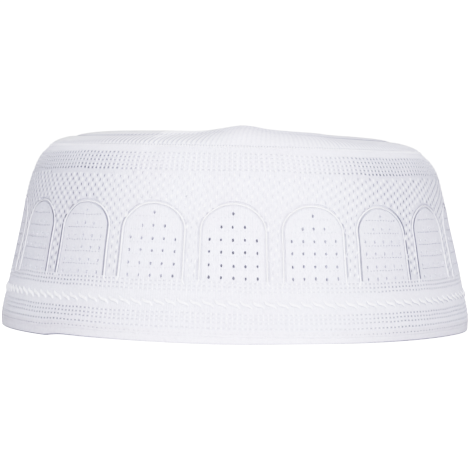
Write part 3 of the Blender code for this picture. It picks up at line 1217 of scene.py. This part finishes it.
@dataclass
class LatticeWall(CapPiece):
    """The openwork field round and above the arches: small holes on the mesh's own straight grain."""

    arch: ArchShape = field(default_factory=ArchShape)
    grain: StraightGrain = StraightGrain()
    step: tuple[float, float] = (1.811, 1.739)
    start: tuple[float, float] = (-0.093, 1.644)
    bottom: float = 22.6
    top: float = 61.5
    depth: float = 1.5
    # the painted light on the full stitches
    light: float = 1.0
    margin: float = 1.0
    snap: float = 0.95
    # how near the field's lower and upper edges, its two ends and the arches' edges count as on them
    edge_gap: float = 0.06
    end_gap: float = 1.0
    side_gap: float = 0.3
    edge_samples: int = 145
    seed: int = 3
    room: float = 0.5
    # the painted shade over the whole field, and holes with shade painted on their walls and floors
    painted_ground_shade: float = 0.24
    hole: Opening = Opening(0.56, 1.42, 0.32)
    spot: Opening = Opening(0.56, 1.42, -0.24)

    @property
    def cut(self) -> Cut:
        """The field's flat size, less the room for the arches."""
        arches = ARCH_COUNT * self.arch.covered(self.bottom, self.margin)
        return self.form.strip(
            self.bottom, self.top, 1.0 - arches / (self.form.round_length * (self.top - self.bottom))
        )

    def _grid(self) -> tuple[FlatKnit, int]:
        """Lays out the mesh's cells over the whole wall.

        Returns:
            The cells, and 1 if the first of them starts with a full stitch.
        """
        half = self.form.half_turn
        xs = np.linspace(-half, half, self.edge_samples)
        lines, first_sum = [], 0
        ends = [self.grain.to_grain(xs, np.full_like(xs, level)) for level in (self.bottom, self.top)]
        for axis in (0, 1):
            reach = np.concatenate([end[axis] for end in ends])
            step, start = self.step[axis], self.start[axis]
            first = math.floor((reach.min() - start) / step) - 1
            last = math.ceil((reach.max() - start) / step) + 1
            lines.append([start + (k - 0.5) * step for k in range(first, last + 2)])
            first_sum += first
        return FlatKnit(*lines, seed=self.seed), first_sum % 2

    def _has_room(self, x: np.ndarray, y: np.ndarray) -> bool:
        """Whether a cell that was drawn to an arch's edge still has room for a hole.

        Args:
            x: the flat x of its corners, in turn.
            y: their y.

        Returns:
            True if every side is far enough from its middle.
        """
        side_x, side_y = np.roll(x, -1) - x, np.roll(y, -1) - y
        size = np.maximum(np.hypot(side_x, side_y), LEAST)
        gap = np.abs(side_x * (y.mean() - y) - side_y * (x.mean() - x)) / size
        return bool(gap.min() > self.room)

    def _lay(self, verts: Sequence[bmesh.types.BMVert]) -> tuple[np.ndarray, ...]:
        """Lays the mesh flat and draws its points near an arch onto the arch's edge.

        Args:
            verts: the mesh's points, on its own grain.

        Returns:
            Their flat x and y, whether each was drawn to an edge, and whether it lies within an arch.
        """
        u, v, _ = np.array([vert.co for vert in verts]).T
        x, y = self.grain.to_flat(u, v)
        aside, lift = self.form.drifted(x, y)
        x, y = x - aside, y - lift
        away, across, up = self.arch.outside(self.arch.nearest(x), y)
        gap = away - self.margin
        moved = np.abs(gap) < self.snap
        x, y = x - gap * across * moved, y - gap * up * moved
        for number, vert in enumerate(verts):
            vert.index = number
            vert.co = (x[number], y[number], 0.0)
        return x, y, moved, moved | (gap < 0.0)

    def build(self) -> bpy.types.Object:
        """Knits the field, with room for the arches.

        Returns:
            The field.
        """
        cloth, odd = self._grid()
        x, y, moved, within = self._lay(cloth.mesh.verts[:])
        half = self.form.half_turn
        beyond = [y < self.bottom, y > self.top, x < -half, x > half]
        near_end = abs(x) > half - self.end_gap
        near_edge = (y < self.bottom + self.edge_gap) | (y > self.top - self.edge_gap) | near_end
        holes, full, gone = [], [], []
        for cell, face in cloth.cells.items():
            at = [vert.index for vert in face.verts]
            if within[at].all() or any(side[at].all() for side in beyond):
                gone.append(face)
            elif not near_edge[at].any() and (not moved[at].any() or self._has_room(x[at], y[at])):
                (full if (sum(cell) + odd) % 2 else holes).append(cell)
        bmesh.ops.delete(cloth.mesh, geom=gone, context="FACES")
        snip(cloth.mesh, (0.0, self.bottom, 0.0), (0.0, -1.0, 0.0))
        snip(cloth.mesh, (0.0, self.top, 0.0), (0.0, 1.0, 0.0))
        snip(cloth.mesh, (-half, 0.0, 0.0), (-1.0, 0.0, 0.0))
        snip(cloth.mesh, (half, 0.0, 0.0), (1.0, 0.0, 0.0))
        # painted shade over the field, and more on its sides along the arches' legs
        for face in cloth.mesh.faces:
            cloth.shade(face, self.painted_ground_shade)
        for face in cloth.thicken(self.depth, ring=False):
            x, y, _ = face.calc_center_median()
            if abs(float(self.arch.outside(self.arch.nearest(x), y)[0]) - self.margin) < self.side_gap:
                cloth.shade(face, self.arch.edge_shade(x, y))
        cloth.pit(holes, self.hole)
        cloth.stud(full, self.spot, self.light)
        return self.finished("lattice_wall", cloth.mesh, self.form.wall, WALL_FINISH)


@dataclass
class ArchPanels(CapPiece):
    """The eighteen panels inside the arches, with their large eyelets and rows of small pits."""

    arch: ArchShape = field(default_factory=ArchShape)
    bottom: float = 22.6
    # height, eyelets in the row
    eyelet_rows: Table = ((23.6, 5), (27.9, 5), (32.6, 5), (37.0, 5), (41.6, 3), (46.3, 1))
    eyelet_pitch: float = 4.4
    eyelet_cell: float = 1.5
    pit_gap: tuple[float, float] = (1.0, 1.85)
    margin: float = 1.0
    trim_planes: int = 16
    proud: float = 0.04
    depth: float = 1.55
    # the shade painted on the eyelets' sides and over the panels
    eyelet_tone: float = 0.0
    painted_ground_shade: float = 0.18
    # room above and below an eyelet in its row, and how near its row and its column it counts as in them
    row_room: float = 0.1
    row_reach: float = 0.3
    column_reach: float = 0.05
    # how near its row a pit counts as in it, and how far within the outline it lies at the least
    dot_reach: float = 0.1
    dot_within: float = 1.9
    # sides that lie further within the outline are an eyelet's, and sides under the gap are the foot's
    side_within: float = 1.8
    foot_gap: float = 0.1
    seed: int = 20
    eyelet: Opening = Opening(0.95, 1.42, splits=2)
    # small pits with shade painted on their walls and floors
    dot: Opening = Opening(0.7, 0.46, 0.18)

    @property
    def cut(self) -> Cut:
        """The flat size of all the panels, side by side.

        Returns:
            The size that such a strip of panels is cut to.
        """
        flat = self.form.strip(self.bottom, self.arch.crown - self.margin)
        width = flat.width * 2 * self._half / self.form.pitch
        area = ARCH_COUNT * self.arch.covered(self.bottom, -self.margin) * flat.width / self.form.round_length
        return Cut(width, flat.length, area)

    @property
    def _half(self) -> float:
        """Half the flat width of a panel."""
        return self.arch.half_width - self.margin

    def _columns(self) -> list[float]:
        """The lines between columns: a cell for each eyelet, and two gaps between every two.

        Returns:
            The x of each line.
        """
        gap = (self.eyelet_pitch - self.eyelet_cell) / 2
        lines = [self.eyelet_cell / 2]
        for _ in range(2):
            lines += [lines[-1] + gap, lines[-1] + 2 * gap]
            lines.append(lines[-1] + self.eyelet_cell)
        lines.append(self._half)
        return [-line for line in reversed(lines)] + lines

    def _rows(self) -> list[float]:
        """The lines between rows: of eyelets, and of the small pits under each.

        Returns:
            The y of each line.
        """
        half = self.eyelet_cell / 2 + self.row_room
        near, far = self.pit_gap
        lines = [self.bottom, self.eyelet_rows[0][0] + half]
        for level, _ in self.eyelet_rows[1:]:
            lines += [(lines[-1] + level - far) / 2, level - far, level - near, level - half, level + half]
        crown = self.arch.crown - self.margin
        return lines + [(lines[-1] + crown) / 2, crown]

    def _is_eyelet(self, x: float, y: float) -> bool:
        """Whether a cell with its middle here is an eyelet."""
        column = round(x / self.eyelet_pitch)
        return abs(x / self.eyelet_pitch - column) < self.column_reach and any(
            abs(y - level) < self.row_reach and abs(column) <= count // 2 for level, count in self.eyelet_rows
        )

    def _is_dot(self, x: float, y: float) -> bool:
        """Whether a cell with its middle here is a small pit."""
        below = sum(self.pit_gap) / 2
        return float(self.arch.outside(x, y)[0]) < -self.dot_within and any(
            abs(level - below - y) < self.dot_reach for level, _ in self.eyelet_rows[1:]
        )

    def _panel(self, number: int) -> bmesh.types.BMesh:
        """Knits one panel and trims it to its arch.

        Args:
            number: the arch's number, from the front.

        Returns:
            The panel, in flat millimetres.
        """
        cloth = FlatKnit(self._columns(), self._rows(), seed=self.seed + number)
        eyelets, dots = cloth.cells_where(self._is_eyelet), cloth.cells_where(self._is_dot)
        # painted shade over the whole panel
        cloth.shade_cells(cloth.cells, self.painted_ground_shade)
        cloth.open(eyelets, self.eyelet)
        self._trim(cloth.mesh)
        shift = number * self.form.pitch
        # the sides along the arch get painted shade, the eyelets' sides their own
        for face in cloth.thicken(self.depth, ring=False):
            x, y, _ = face.calc_center_median()
            if float(self.arch.outside(x, y)[0]) < -self.side_within:
                cloth.shade(face, self.eyelet_tone)
            elif y > self.bottom + self.foot_gap:
                cloth.shade(face, self.arch.edge_shade(x + shift, y))
        cloth.pit(dots, self.dot)
        bmesh.ops.translate(cloth.mesh, verts=cloth.mesh.verts, vec=(shift, 0.0, self.proud))
        return cloth.mesh

    def build(self) -> bpy.types.Object:
        """Knits every panel and joins them.

        Returns:
            The panels, as one piece.
        """
        joined = self._panel(0)
        for number in range(1, ARCH_COUNT):
            data = mesh_data("panel", self._panel(number))
            joined.from_mesh(data)
            bpy.data.meshes.remove(data)
        return self.finished("arch_panels", joined, self.form.wall, PANEL_FINISH)

    def _trim(self, mesh: bmesh.types.BMesh) -> None:
        """Cuts the panel's head to the arch, one straight snip after another.

        Args:
            mesh: the panel, in flat millimetres.
        """
        rise = self.arch.rise - self.margin
        for number in range(1, self.trim_planes):
            turn = math.pi * number / self.trim_planes
            across, up = math.cos(turn), math.sin(turn)
            snip(
                mesh,
                (self._half * across, self.arch.spring + rise * up, 0.0),
                (across / self._half, up / rise, 0.0),
            )


@dataclass(frozen=True)
class Laying:
    """Lays a grid along a flat route, so that a piece can follow it."""

    route: np.ndarray
    reach: float = 0.1

    @property
    def marks(self) -> np.ndarray:
        """How far along the route each of its points lies."""
        return run_along(self.route)

    def place(self, along: np.ndarray, aside: np.ndarray, out: np.ndarray) -> np.ndarray:
        """Places points by how far along and aside of the route they lie.

        Args:
            along: distances along the route.
            aside: distances to its left.
            out: distances out of the cloth's face.

        Returns:
            One row of flat x, y and z for each point.
        """
        heading = self._at(along + self.reach) - self._at(along - self.reach)
        heading /= np.maximum(np.hypot(*heading.T), LEAST)[:, None]
        across = np.column_stack((-heading[:, 1], heading[:, 0]))
        return np.column_stack((self._at(along) + across * aside[:, None], out))

    def _at(self, along: np.ndarray) -> np.ndarray:
        """The flat places that lie so far along the route."""
        return np.column_stack([np.interp(along, self.marks, self.route[:, k]) for k in (0, 1)])


@dataclass
class ArchBorders(CapPiece):
    """The sunk strips round the arches, in which their cords lie."""

    arch: ArchShape = field(default_factory=ArchShape)
    half_width: float = 1.25
    sunk: float = 0.45
    depth: float = 0.8
    # how much of the edges' painted shade the strips get
    line_share: float = 0.9
    step: float = 0.6
    foot: float = 22.3

    @property
    def _route(self) -> np.ndarray:
        """The part of the outline that stands above the strip's foot."""
        route = self.arch.route(0.0)
        return route[route[:, 1] > self.foot]

    @property
    def cut(self) -> Cut:
        """The flat size of all the strips, side by side."""
        width, length = 2 * self.half_width * ARCH_COUNT, float(Laying(self._route).marks[-1])
        return Cut(width, length, width * length)

    def build(self) -> bpy.types.Object:
        """Lays one strip and copies it round.

        Returns:
            The strips, as one piece.
        """
        laying = Laying(self._route)
        length = laying.marks[-1]
        columns = spaced(0.0, length, round(length / self.step))
        cloth = FlatKnit(columns, (-self.half_width, 0.0, self.half_width))
        cloth.thicken(self.depth, ring=False)
        along, aside, out = np.array([vert.co for vert in cloth.mesh.verts]).T
        for vert, point in zip(cloth.mesh.verts, laying.place(along, aside, out - self.sunk)):
            vert.co = point
        copies_round(cloth.mesh, ARCH_COUNT, self.form.pitch)
        # the strips get the edges' painted shade
        for face in cloth.mesh.faces:
            x, y, _ = face.calc_center_median()
            cloth.shade(face, self.line_share * self.arch.edge_shade(x, y))
        return self.finished("arch_borders", cloth.mesh, self.form.wall, PANEL_FINISH)


@dataclass
class Hem(CapPiece):
    """The plain folded hem, with its dotted row and the line that its fold is sewn along."""

    columns_per_arch: int = 34
    thickness: float = 2.2
    rounding: float = 0.55
    top: float = 4.6
    steps: int = 3
    # height on the outer face, how deep it is sunk there
    rows: Table = (
        (4.6, 0.0), (3.9, 0.0), (2.95, 0.0), (2.5, 0.0), (2.36, 0.14), (2.22, 0.0), (1.4, 0.0), (0.55, 0.0),
    )
    dot_level: float = 3.42
    dot_reach: float = 0.12
    least_step: float = 0.01
    seed: int = 7
    # its dots, with shade painted on their walls and floors
    dot: Opening = Opening(0.72, 0.54, 0.25)
    # below this height the hem's fold by the floor gets a darker painted shade, and the rest a light one
    fold_level: float = 0.6
    fold_shade: float = 0.8
    painted_ground_shade: float = 0.14
    cut_length: float = 10.0
    cut_share: float = 0.94

    @property
    def cut(self) -> Cut:
        """The hem's flat size before it is folded over."""
        width = self.form.strip(0.0, self.top).width
        return Cut(width, self.cut_length, width * self.cut_length * self.cut_share)

    def _section(self) -> np.ndarray:
        """The closed outline of the fold.

        Returns:
            One row of height and out for each point.
        """
        path = [(height, -sunk) for height, sunk in self.rows]
        for middle, start in ((-self.rounding, 0.0), (-self.thickness + self.rounding, 0.5)):
            for step in range(self.steps + 1):
                turn = math.pi * (start + 0.5 * step / self.steps)
                place = (self.rounding * (1.0 - math.sin(turn)), middle + self.rounding * math.cos(turn))
                if math.dist(place, path[-1]) > self.least_step:
                    path.append(place)
        return np.array(path + [(self.top, -self.thickness), (self.top, 0.0)])

    def build(self) -> bpy.types.Object:
        """Knits the hem and folds it.

        Returns:
            The hem.
        """
        section = self._section()
        run = run_along(section)
        half = self.form.half_turn
        columns = spaced(-half, half, self.columns_per_arch * ARCH_COUNT)
        cloth = FlatKnit(columns, list(self.top - run), seed=self.seed)
        # painted shade, darkest on the fold by the floor
        for face in cloth.mesh.faces:
            level = face.calc_center_median().y
            cloth.shade(face, self.fold_shade if level < self.fold_level else self.painted_ground_shade)
        row = cloth.cells_where(lambda x, y: abs(y - self.dot_level) < self.dot_reach)
        cloth.pit([cell for cell in row if cell[0] % 2], self.dot)

        def folded(flat: np.ndarray) -> np.ndarray:
            """Places flat points on the folded hem."""
            height, out = (np.interp(self.top - flat[:, 1], run, column) for column in section.T)
            return self.form.wall(np.column_stack((flat[:, 0], height, out + flat[:, 2])))

        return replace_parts(self.finished("hem", cloth.mesh, folded, HEM_FINISH), "hem_band")


@dataclass
class TopPanel(CapPiece):
    """The round top, ribbed from its turned-down edge inwards, the ribs slanting a little."""

    ribs_per_arch: int = 14
    radii: tuple[float, ...] = (
        0.0, 1.5, 5.0, 10.0, 16.0, 23.0, 30.0, 37.0, 43.0, 48.0, 53.0, 57.0, 59.0, 60.0, 61.0, 62.0,
        63.0, 64.0, 65.0, 66.0, 67.0, 68.2, 69.5, 70.8, 72.0, 73.0, 73.7, 74.25,
    )
    rib: float = 0.32
    # the painted light on the ribs' crests
    rib_light: float = 0.9
    plain_within: float = 37.5
    full_from: float = 52.0
    fold_width: float = 1.3
    fold_depth: float = 0.5
    depth: float = 1.5
    # the painted shade between the ribs and in the fold
    rib_tone: float = 0.9
    fold_shade: float = 0.9
    rim_fade: tuple[float, float] = (73.4, 74.2)
    seed: int = 9
    # angle in degrees, how full the ribs are there, how they slant, how deep the fold lies, its radius
    turns: Table = (
        (-180.0, 0.6, 0.2, 0.3, 61.0), (-90.0, 0.7, -0.4, 0.6, 63.5), (-66.0, 1.3, -0.5, 1.0, 65.8),
        (-36.0, 1.4, 0.0, 1.0, 65.8), (-26.0, 1.5, 0.2, 0.7, 64.5), (-12.0, 1.2, 0.27, 0.4, 62.0),
        (-3.0, 0.35, 0.27, 0.2, 62.0), (25.0, 0.4, 0.27, 0.5, 62.0), (36.0, 0.8, 0.2, 0.8, 62.5),
        (60.0, 0.7, 0.2, 1.0, 63.5), (90.0, 0.6, 0.2, 0.4, 63.0), (180.0, 0.6, 0.2, 0.3, 61.0),
    )

    @property
    def cut(self) -> Cut:
        """The flat size of the round top, measured over its turned-down edge."""
        radius = float(np.hypot(*np.diff(np.array(self.form.top_profile), axis=0).T).sum())
        return Cut(2 * radius, 2 * radius, math.pi * radius**2)

    def _slanted(self, flat: np.ndarray) -> np.ndarray:
        """Places flat points on the top, along its slanting ribs.

        Args:
            flat: one row of flat x, y and z for each point.

        Returns:
            One row of x, y and z on the cap for each point.
        """
        turned = flat.astype(float)
        slant = along_table(self.turns, np.degrees(turned[:, 0] / self.form.ring_radius), 2)
        turned[:, 0] += slant * (self.form.top_edge_radius - turned[:, 1])
        return self.form.top(turned)

    def build(self) -> bpy.types.Object:
        """Knits the top, with its ribs and the fold round it.

        Returns:
            The top.
        """
        half = self.form.half_turn
        columns = 2 * self.ribs_per_arch * ARCH_COUNT
        cloth = FlatKnit(spaced(-half, half, columns), self.radii, seed=self.seed)
        width = self.form.round_length / columns
        painted_by_vert = {}
        for vert in cloth.mesh.verts:
            on_rib = round((vert.co.x + half) / width) % 2
            turn, radius = math.degrees(vert.co.x / self.form.ring_radius), vert.co.y
            full = float(smooth_step(self.plain_within, self.full_from, radius))
            full *= float(along_table(self.turns, turn))
            full *= 1.0 - float(smooth_step(*self.rim_fade, radius))
            within = (radius - float(along_table(self.turns, turn, 4))) / self.fold_width
            folded = float(along_table(self.turns, turn, 3)) * math.exp(-within * within)
            vert.co.z = (self.rib * full if on_rib else 0.0) - self.fold_depth * folded
            # painted light on the ribs, painted shade between them and in the fold
            shade = (-self.rib_light if on_rib else self.rib_tone) * full
            painted_by_vert[vert] = self.fold_shade * folded + shade * (1.0 - folded)
        for face in cloth.mesh.faces:
            for loop in face.loops:
                loop[cloth.tone] = painted_by_vert[loop.vert]
        cloth.thicken(self.depth)
        top = self.finished("top", cloth.mesh, self._slanted, TOP_FINISH, self.plain_within)
        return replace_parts(top, "top_panel")


@dataclass(frozen=True)
class SatinBar:
    """A raised bar of satin thread along a flat route: a tube with wrapped threads and closed ends."""

    width: float
    height: float
    sides: int = 8
    step: float = 0.2
    thread: float = 0.6
    ripple: float = 0.07
    base: float = 0.0
    taper: float = 0.7
    # the painted shade on the flanks to the right and to the left of the route
    flank_tones: tuple[float, float] = (0.2, 0.2)
    # the painted light on its crest
    crest_painted_light: float = 0.6
    # how far up the bar, as a share of its height, its flanks' painted shade ends and its crest's painted
    # light grows
    flank_fade: tuple[float, float] = (0.0, 0.6)
    crest_fade: tuple[float, float] = (0.5, 0.95)
    least_steps: int = 6

    def mesh(self, route: np.ndarray) -> bmesh.types.BMesh:
        """Lays the bar along a route.

        Args:
            route: flat x and y of points close together along the bar's middle.

        Returns:
            The bar in flat millimetres.
        """
        laying = Laying(route)
        length = laying.marks[-1]
        mesh = bmesh.new()
        tone = mesh.loops.layers.float.new("painted_shading")
        steps = max(self.least_steps, round(length / self.step))
        bmesh.ops.create_grid(mesh, x_segments=steps, y_segments=self.sides, size=0.5)
        points = np.array([vert.co for vert in mesh.verts])
        along, turn = (points[:, 0] + 0.5) * length, (points[:, 1] + 0.5) * math.tau
        near_end = np.clip(np.minimum(along, length - along) / self.taper, 0.0, 1.0)
        full = np.sqrt(near_end * (2.0 - near_end))
        wrap = 1.0 + self.ripple * np.sin(math.tau * along / self.thread + turn)
        out = self.base + self.height * np.sin(turn) * full * wrap
        placed = laying.place(along, self.width / 2 * np.cos(turn) * full * wrap, out)
        # painted shade on the flanks, painted light on the crest
        flank = np.where(np.cos(turn) < 0.0, *self.flank_tones)
        shade = flank * (1.0 - smooth_step(*self.flank_fade, np.sin(turn)))
        shade = shade - self.crest_painted_light * smooth_step(*self.crest_fade, np.sin(turn)) * full
        for number, vert in enumerate(mesh.verts):
            vert.index = number
            vert.co = placed[number]
        for face in mesh.faces:
            for loop in face.loops:
                loop[tone] = shade[loop.vert.index]
        return mesh


@dataclass
class ArchCords(CapPiece):
    """The satin cord round each of the eighteen arches, each cord a piece of its own."""

    arch: ArchShape = field(default_factory=ArchShape)
    # painted shade on both flanks and painted light on the crest
    bar: SatinBar = SatinBar(width=0.72, height=0.55, base=-0.29, crest_painted_light=0.75, flank_tones=(0.8, 0.8))
    foot_turn: float = 0.8
    # how far the cords at the cap's sides lie towards the front
    forward: float = 0.12

    def build(self) -> list[bpy.types.Object]:
        """Lays one cord and copies it onto every arch.

        Returns:
            The cords, from the front round.
        """
        mesh = self.bar.mesh(self.arch.route(self.foot_turn))
        cords = []
        for number in range(ARCH_COUNT):
            copy = mesh.copy()
            shift = number * self.form.pitch - self.forward * math.sin(math.tau * number / ARCH_COUNT)
            bmesh.ops.translate(copy, verts=copy.verts, vec=(shift, 0.0, 0.0))
            cord = self.finished(f"satin_arch_{number + 1:02d}", copy, self.form.wall, SATIN_FINISH)
            cords.append(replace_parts(cord, f"arch_cord_{number + 1:02d}"))
        mesh.free()
        return cords


@dataclass
class StitchRing(CapPiece):
    """A row of like satin stitches round the cap, joined as one piece."""

    name: str
    bar: SatinBar
    per_arch: int
    level: float
    length: float
    slope: float
    finish: ClothFinish
    bow: float = 0.0
    points: int = 9

    def build(self) -> bpy.types.Object:
        """Makes one stitch and copies it round.

        Returns:
            The row, as one piece.
        """
        along = np.linspace(-0.5, 0.5, self.points) * self.length
        bend = self.bow * np.sin(math.tau * along / self.length)
        turn = math.radians(self.slope)
        x = along * math.cos(turn) - bend * math.sin(turn)
        y = along * math.sin(turn) + bend * math.cos(turn)
        mesh = self.bar.mesh(np.column_stack((x, self.level + y)))
        copies_round(mesh, ARCH_COUNT * self.per_arch, self.form.pitch / self.per_arch)
        return self.finished(self.name, mesh, self.form.wall, self.finish)


@dataclass
class LeafStitches(StitchRing):
    """The row of leaf-shaped satin stitches under the arches."""

    name: str = "leaf_stitches"
    # painted shade on each leaf's right flank, less on its left, and a little painted light on its crest
    bar: SatinBar = SatinBar(
        width=1.3, height=0.56, thread=0.5, ripple=0.05, taper=2.3, flank_tones=(1.0, 0.2), crest_painted_light=0.3
    )
    per_arch: int = 7
    level: float = 14.3
    length: float = 5.4
    slope: float = -35.0
    finish: ClothFinish = LEAF_FINISH
    bow: float = 0.4


@dataclass
class CrownSeam(StitchRing):
    """The small linking stitches of the top's seam."""

    name: str = "crown_seam"
    # a little painted light on each stitch's crest, and light painted shade on its flanks
    bar: SatinBar = SatinBar(width=0.85, height=0.22, thread=0.6, taper=0.4, sides=6, crest_painted_light=0.2)
    per_arch: int = 24
    level: float = 71.05
    length: float = 1.3
    slope: float = 60.0
    finish: ClothFinish = SEAM_FINISH


@dataclass
class Studio:
    """The plain pale floor, the soft light and the camera."""

    camera_place: tuple[float, float, float] = (0.0, -0.720, 0.0603)
    camera_pitch: float = 1.905
    camera_roll: float = 0.8
    lens: float = 135.65
    sensor: float = 36.0
    clip: tuple[float, float] = (0.01, 50.0)
    floor_half: float = 4.0
    floor_drop: float = 0.0001
    floor_tone: float = 0.86
    floor_roughness: float = 0.9
    floor_specular: float = 0.1
    floor_glow: float = 0.24
    floor_shown: float = 1.4
    world_light: float = 0.465
    backdrop_light: float = 1.6
    light_aim: tuple[float, float, float] = (0.0, 0.0, 0.045)
    key_power: float = 25.0
    key_size: tuple[float, float] = (1.3, 0.9)
    key_place: tuple[float, float, float] = (0.12, -1.5, 0.5)
    top_power: float = 15.0
    top_size: tuple[float, float] = (1.6, 1.6)
    top_place: tuple[float, float, float] = (0.0, -0.1, 1.6)
    film_white: float = 1.5
    # light, as a share of the film's white, and how bright it is shown
    film_curve: Table = (
        (0.0, 0.0), (0.2, 0.3), (0.4, 0.6), (0.55, 0.765), (0.73, 0.885), (0.87, 0.95), (1.0, 1.0),
    )

    def camera(self) -> None:
        """Puts the camera at the photograph's angle."""
        data = bpy.data.cameras.new("camera")
        data.lens, data.sensor_width = self.lens, self.sensor
        data.clip_start, data.clip_end = self.clip
        camera = put("camera", data)
        pitch = Matrix.Rotation(math.radians(90.0 - self.camera_pitch), 4, "X")
        roll = Matrix.Rotation(math.radians(self.camera_roll), 4, "Z")
        camera.matrix_world = Matrix.Translation(self.camera_place) @ pitch @ roll
        bpy.context.scene.camera = camera

    def _floor_material(self) -> bpy.types.Material:
        """Makes the pale floor's material, which is clear from below.

        Returns:
            The material.
        """
        made = bpy.data.materials.new("pale_floor")
        board = NodeBoard.on(made)
        seen = board.add("ShaderNodeLightPath").outputs["Is Camera Ray"]
        paint = board.add(
            "ShaderNodeBsdfPrincipled",
            {
                "Base Color": (*(self.floor_tone,) * 3, 1.0),
                "Roughness": self.floor_roughness,
                "Specular IOR Level": self.floor_specular,
                "Emission Color": WHITE,
                "Emission Strength": board.math("MULTIPLY_ADD", seen, self.floor_shown, self.floor_glow),
            },
        )
        below = board.add("ShaderNodeNewGeometry").outputs["Backfacing"]
        surface = board.mix_shaders(below, paint, board.add("ShaderNodeBsdfTransparent"))
        board.add("ShaderNodeOutputMaterial", {"Surface": surface})
        return made

    def floor(self) -> None:
        """Puts the floor just under the hem."""
        mesh = bmesh.new()
        bmesh.ops.create_grid(mesh, x_segments=4, y_segments=4, size=self.floor_half)
        bmesh.ops.translate(mesh, verts=mesh.verts, vec=(0.0, 0.0, -self.floor_drop))
        data = mesh_data("floor", mesh)
        data.materials.append(self._floor_material())
        put("floor", data)

    def _area(self, name: str, power: float, size: tuple[float, float], place: Sequence[float]) -> None:
        """Puts a broad light that is aimed at the cap.

        Args:
            name: the light's name.
            power: its power in watts.
            size: its width and height.
            place: where its middle is.
        """
        data = bpy.data.lights.new(name, "AREA")
        data.shape, data.energy = "RECTANGLE", power
        data.size, data.size_y = size
        light = put(name, data)
        aim = Vector(self.light_aim) - Vector(place)
        light.rotation_euler = aim.to_track_quat("-Z", "Y").to_euler()
        light.location = place

    def film(self) -> None:
        """Sets how light is shown: evenly when dim, and held back softly towards white."""
        shown = bpy.context.scene.view_settings
        shown.view_transform = "Standard"
        shown.use_curve_mapping = True
        mapping = shown.curve_mapping
        mapping.white_level = (self.film_white,) * 3
        points = mapping.curves[3].points
        points[0].location, points[-1].location = self.film_curve[0], self.film_curve[-1]
        for light, bright in self.film_curve[1:-1]:
            points.new(light, bright)
        mapping.update()

    def light(self) -> None:
        """Sets the white surroundings, the broad front light and the light from above."""
        world = bpy.data.worlds.new("white_room")
        bpy.context.scene.world = world
        board = NodeBoard.on(world)
        seen = board.add("ShaderNodeLightPath").outputs["Is Camera Ray"]
        lit, shown = [
            board.add("ShaderNodeBackground", {"Color": WHITE, "Strength": strength})
            for strength in (self.world_light, self.backdrop_light)
        ]
        board.add("ShaderNodeOutputWorld", {"Surface": board.mix_shaders(seen, lit, shown)})
        self._area("front_light", self.key_power, self.key_size, self.key_place)
        self._area("top_light", self.top_power, self.top_size, self.top_place)


def main() -> None:
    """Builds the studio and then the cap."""
    logging.basicConfig(level=logging.INFO, format="%(name)s: %(message)s")
    studio = Studio()
    studio.camera()
    studio.floor()
    studio.film()
    studio.light()
    makers = [TopRows(), LatticeWall(), ArchPanels(), ArchBorders(), LowerBand()]
    pieces = [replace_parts(maker.build(), "side_band") for maker in makers]
    hem, top = Hem(), TopPanel()
    whole_hem, whole_top = hem.build(), top.build()
    cords, leaves, links = ArchCords().build(), LeafStitches().build(), CrownSeam().build()
    carriers = ("lattice_wall", "lower_band", "lower_band", "lower_band", "hem", "top_rows")
    sewn_on = ([], [], [], cords, [leaves], [links])
    for maker, piece, carrier, on_it in zip([*makers, top], [*pieces, whole_top], carriers, sewn_on):
        maker.cut.declare(piece, Hold.STRETCHED, [carrier], on_it)
    hem.cut.declare(whole_hem, Hold.FOLDED, [])


if __name__ == "__main__":
    main()
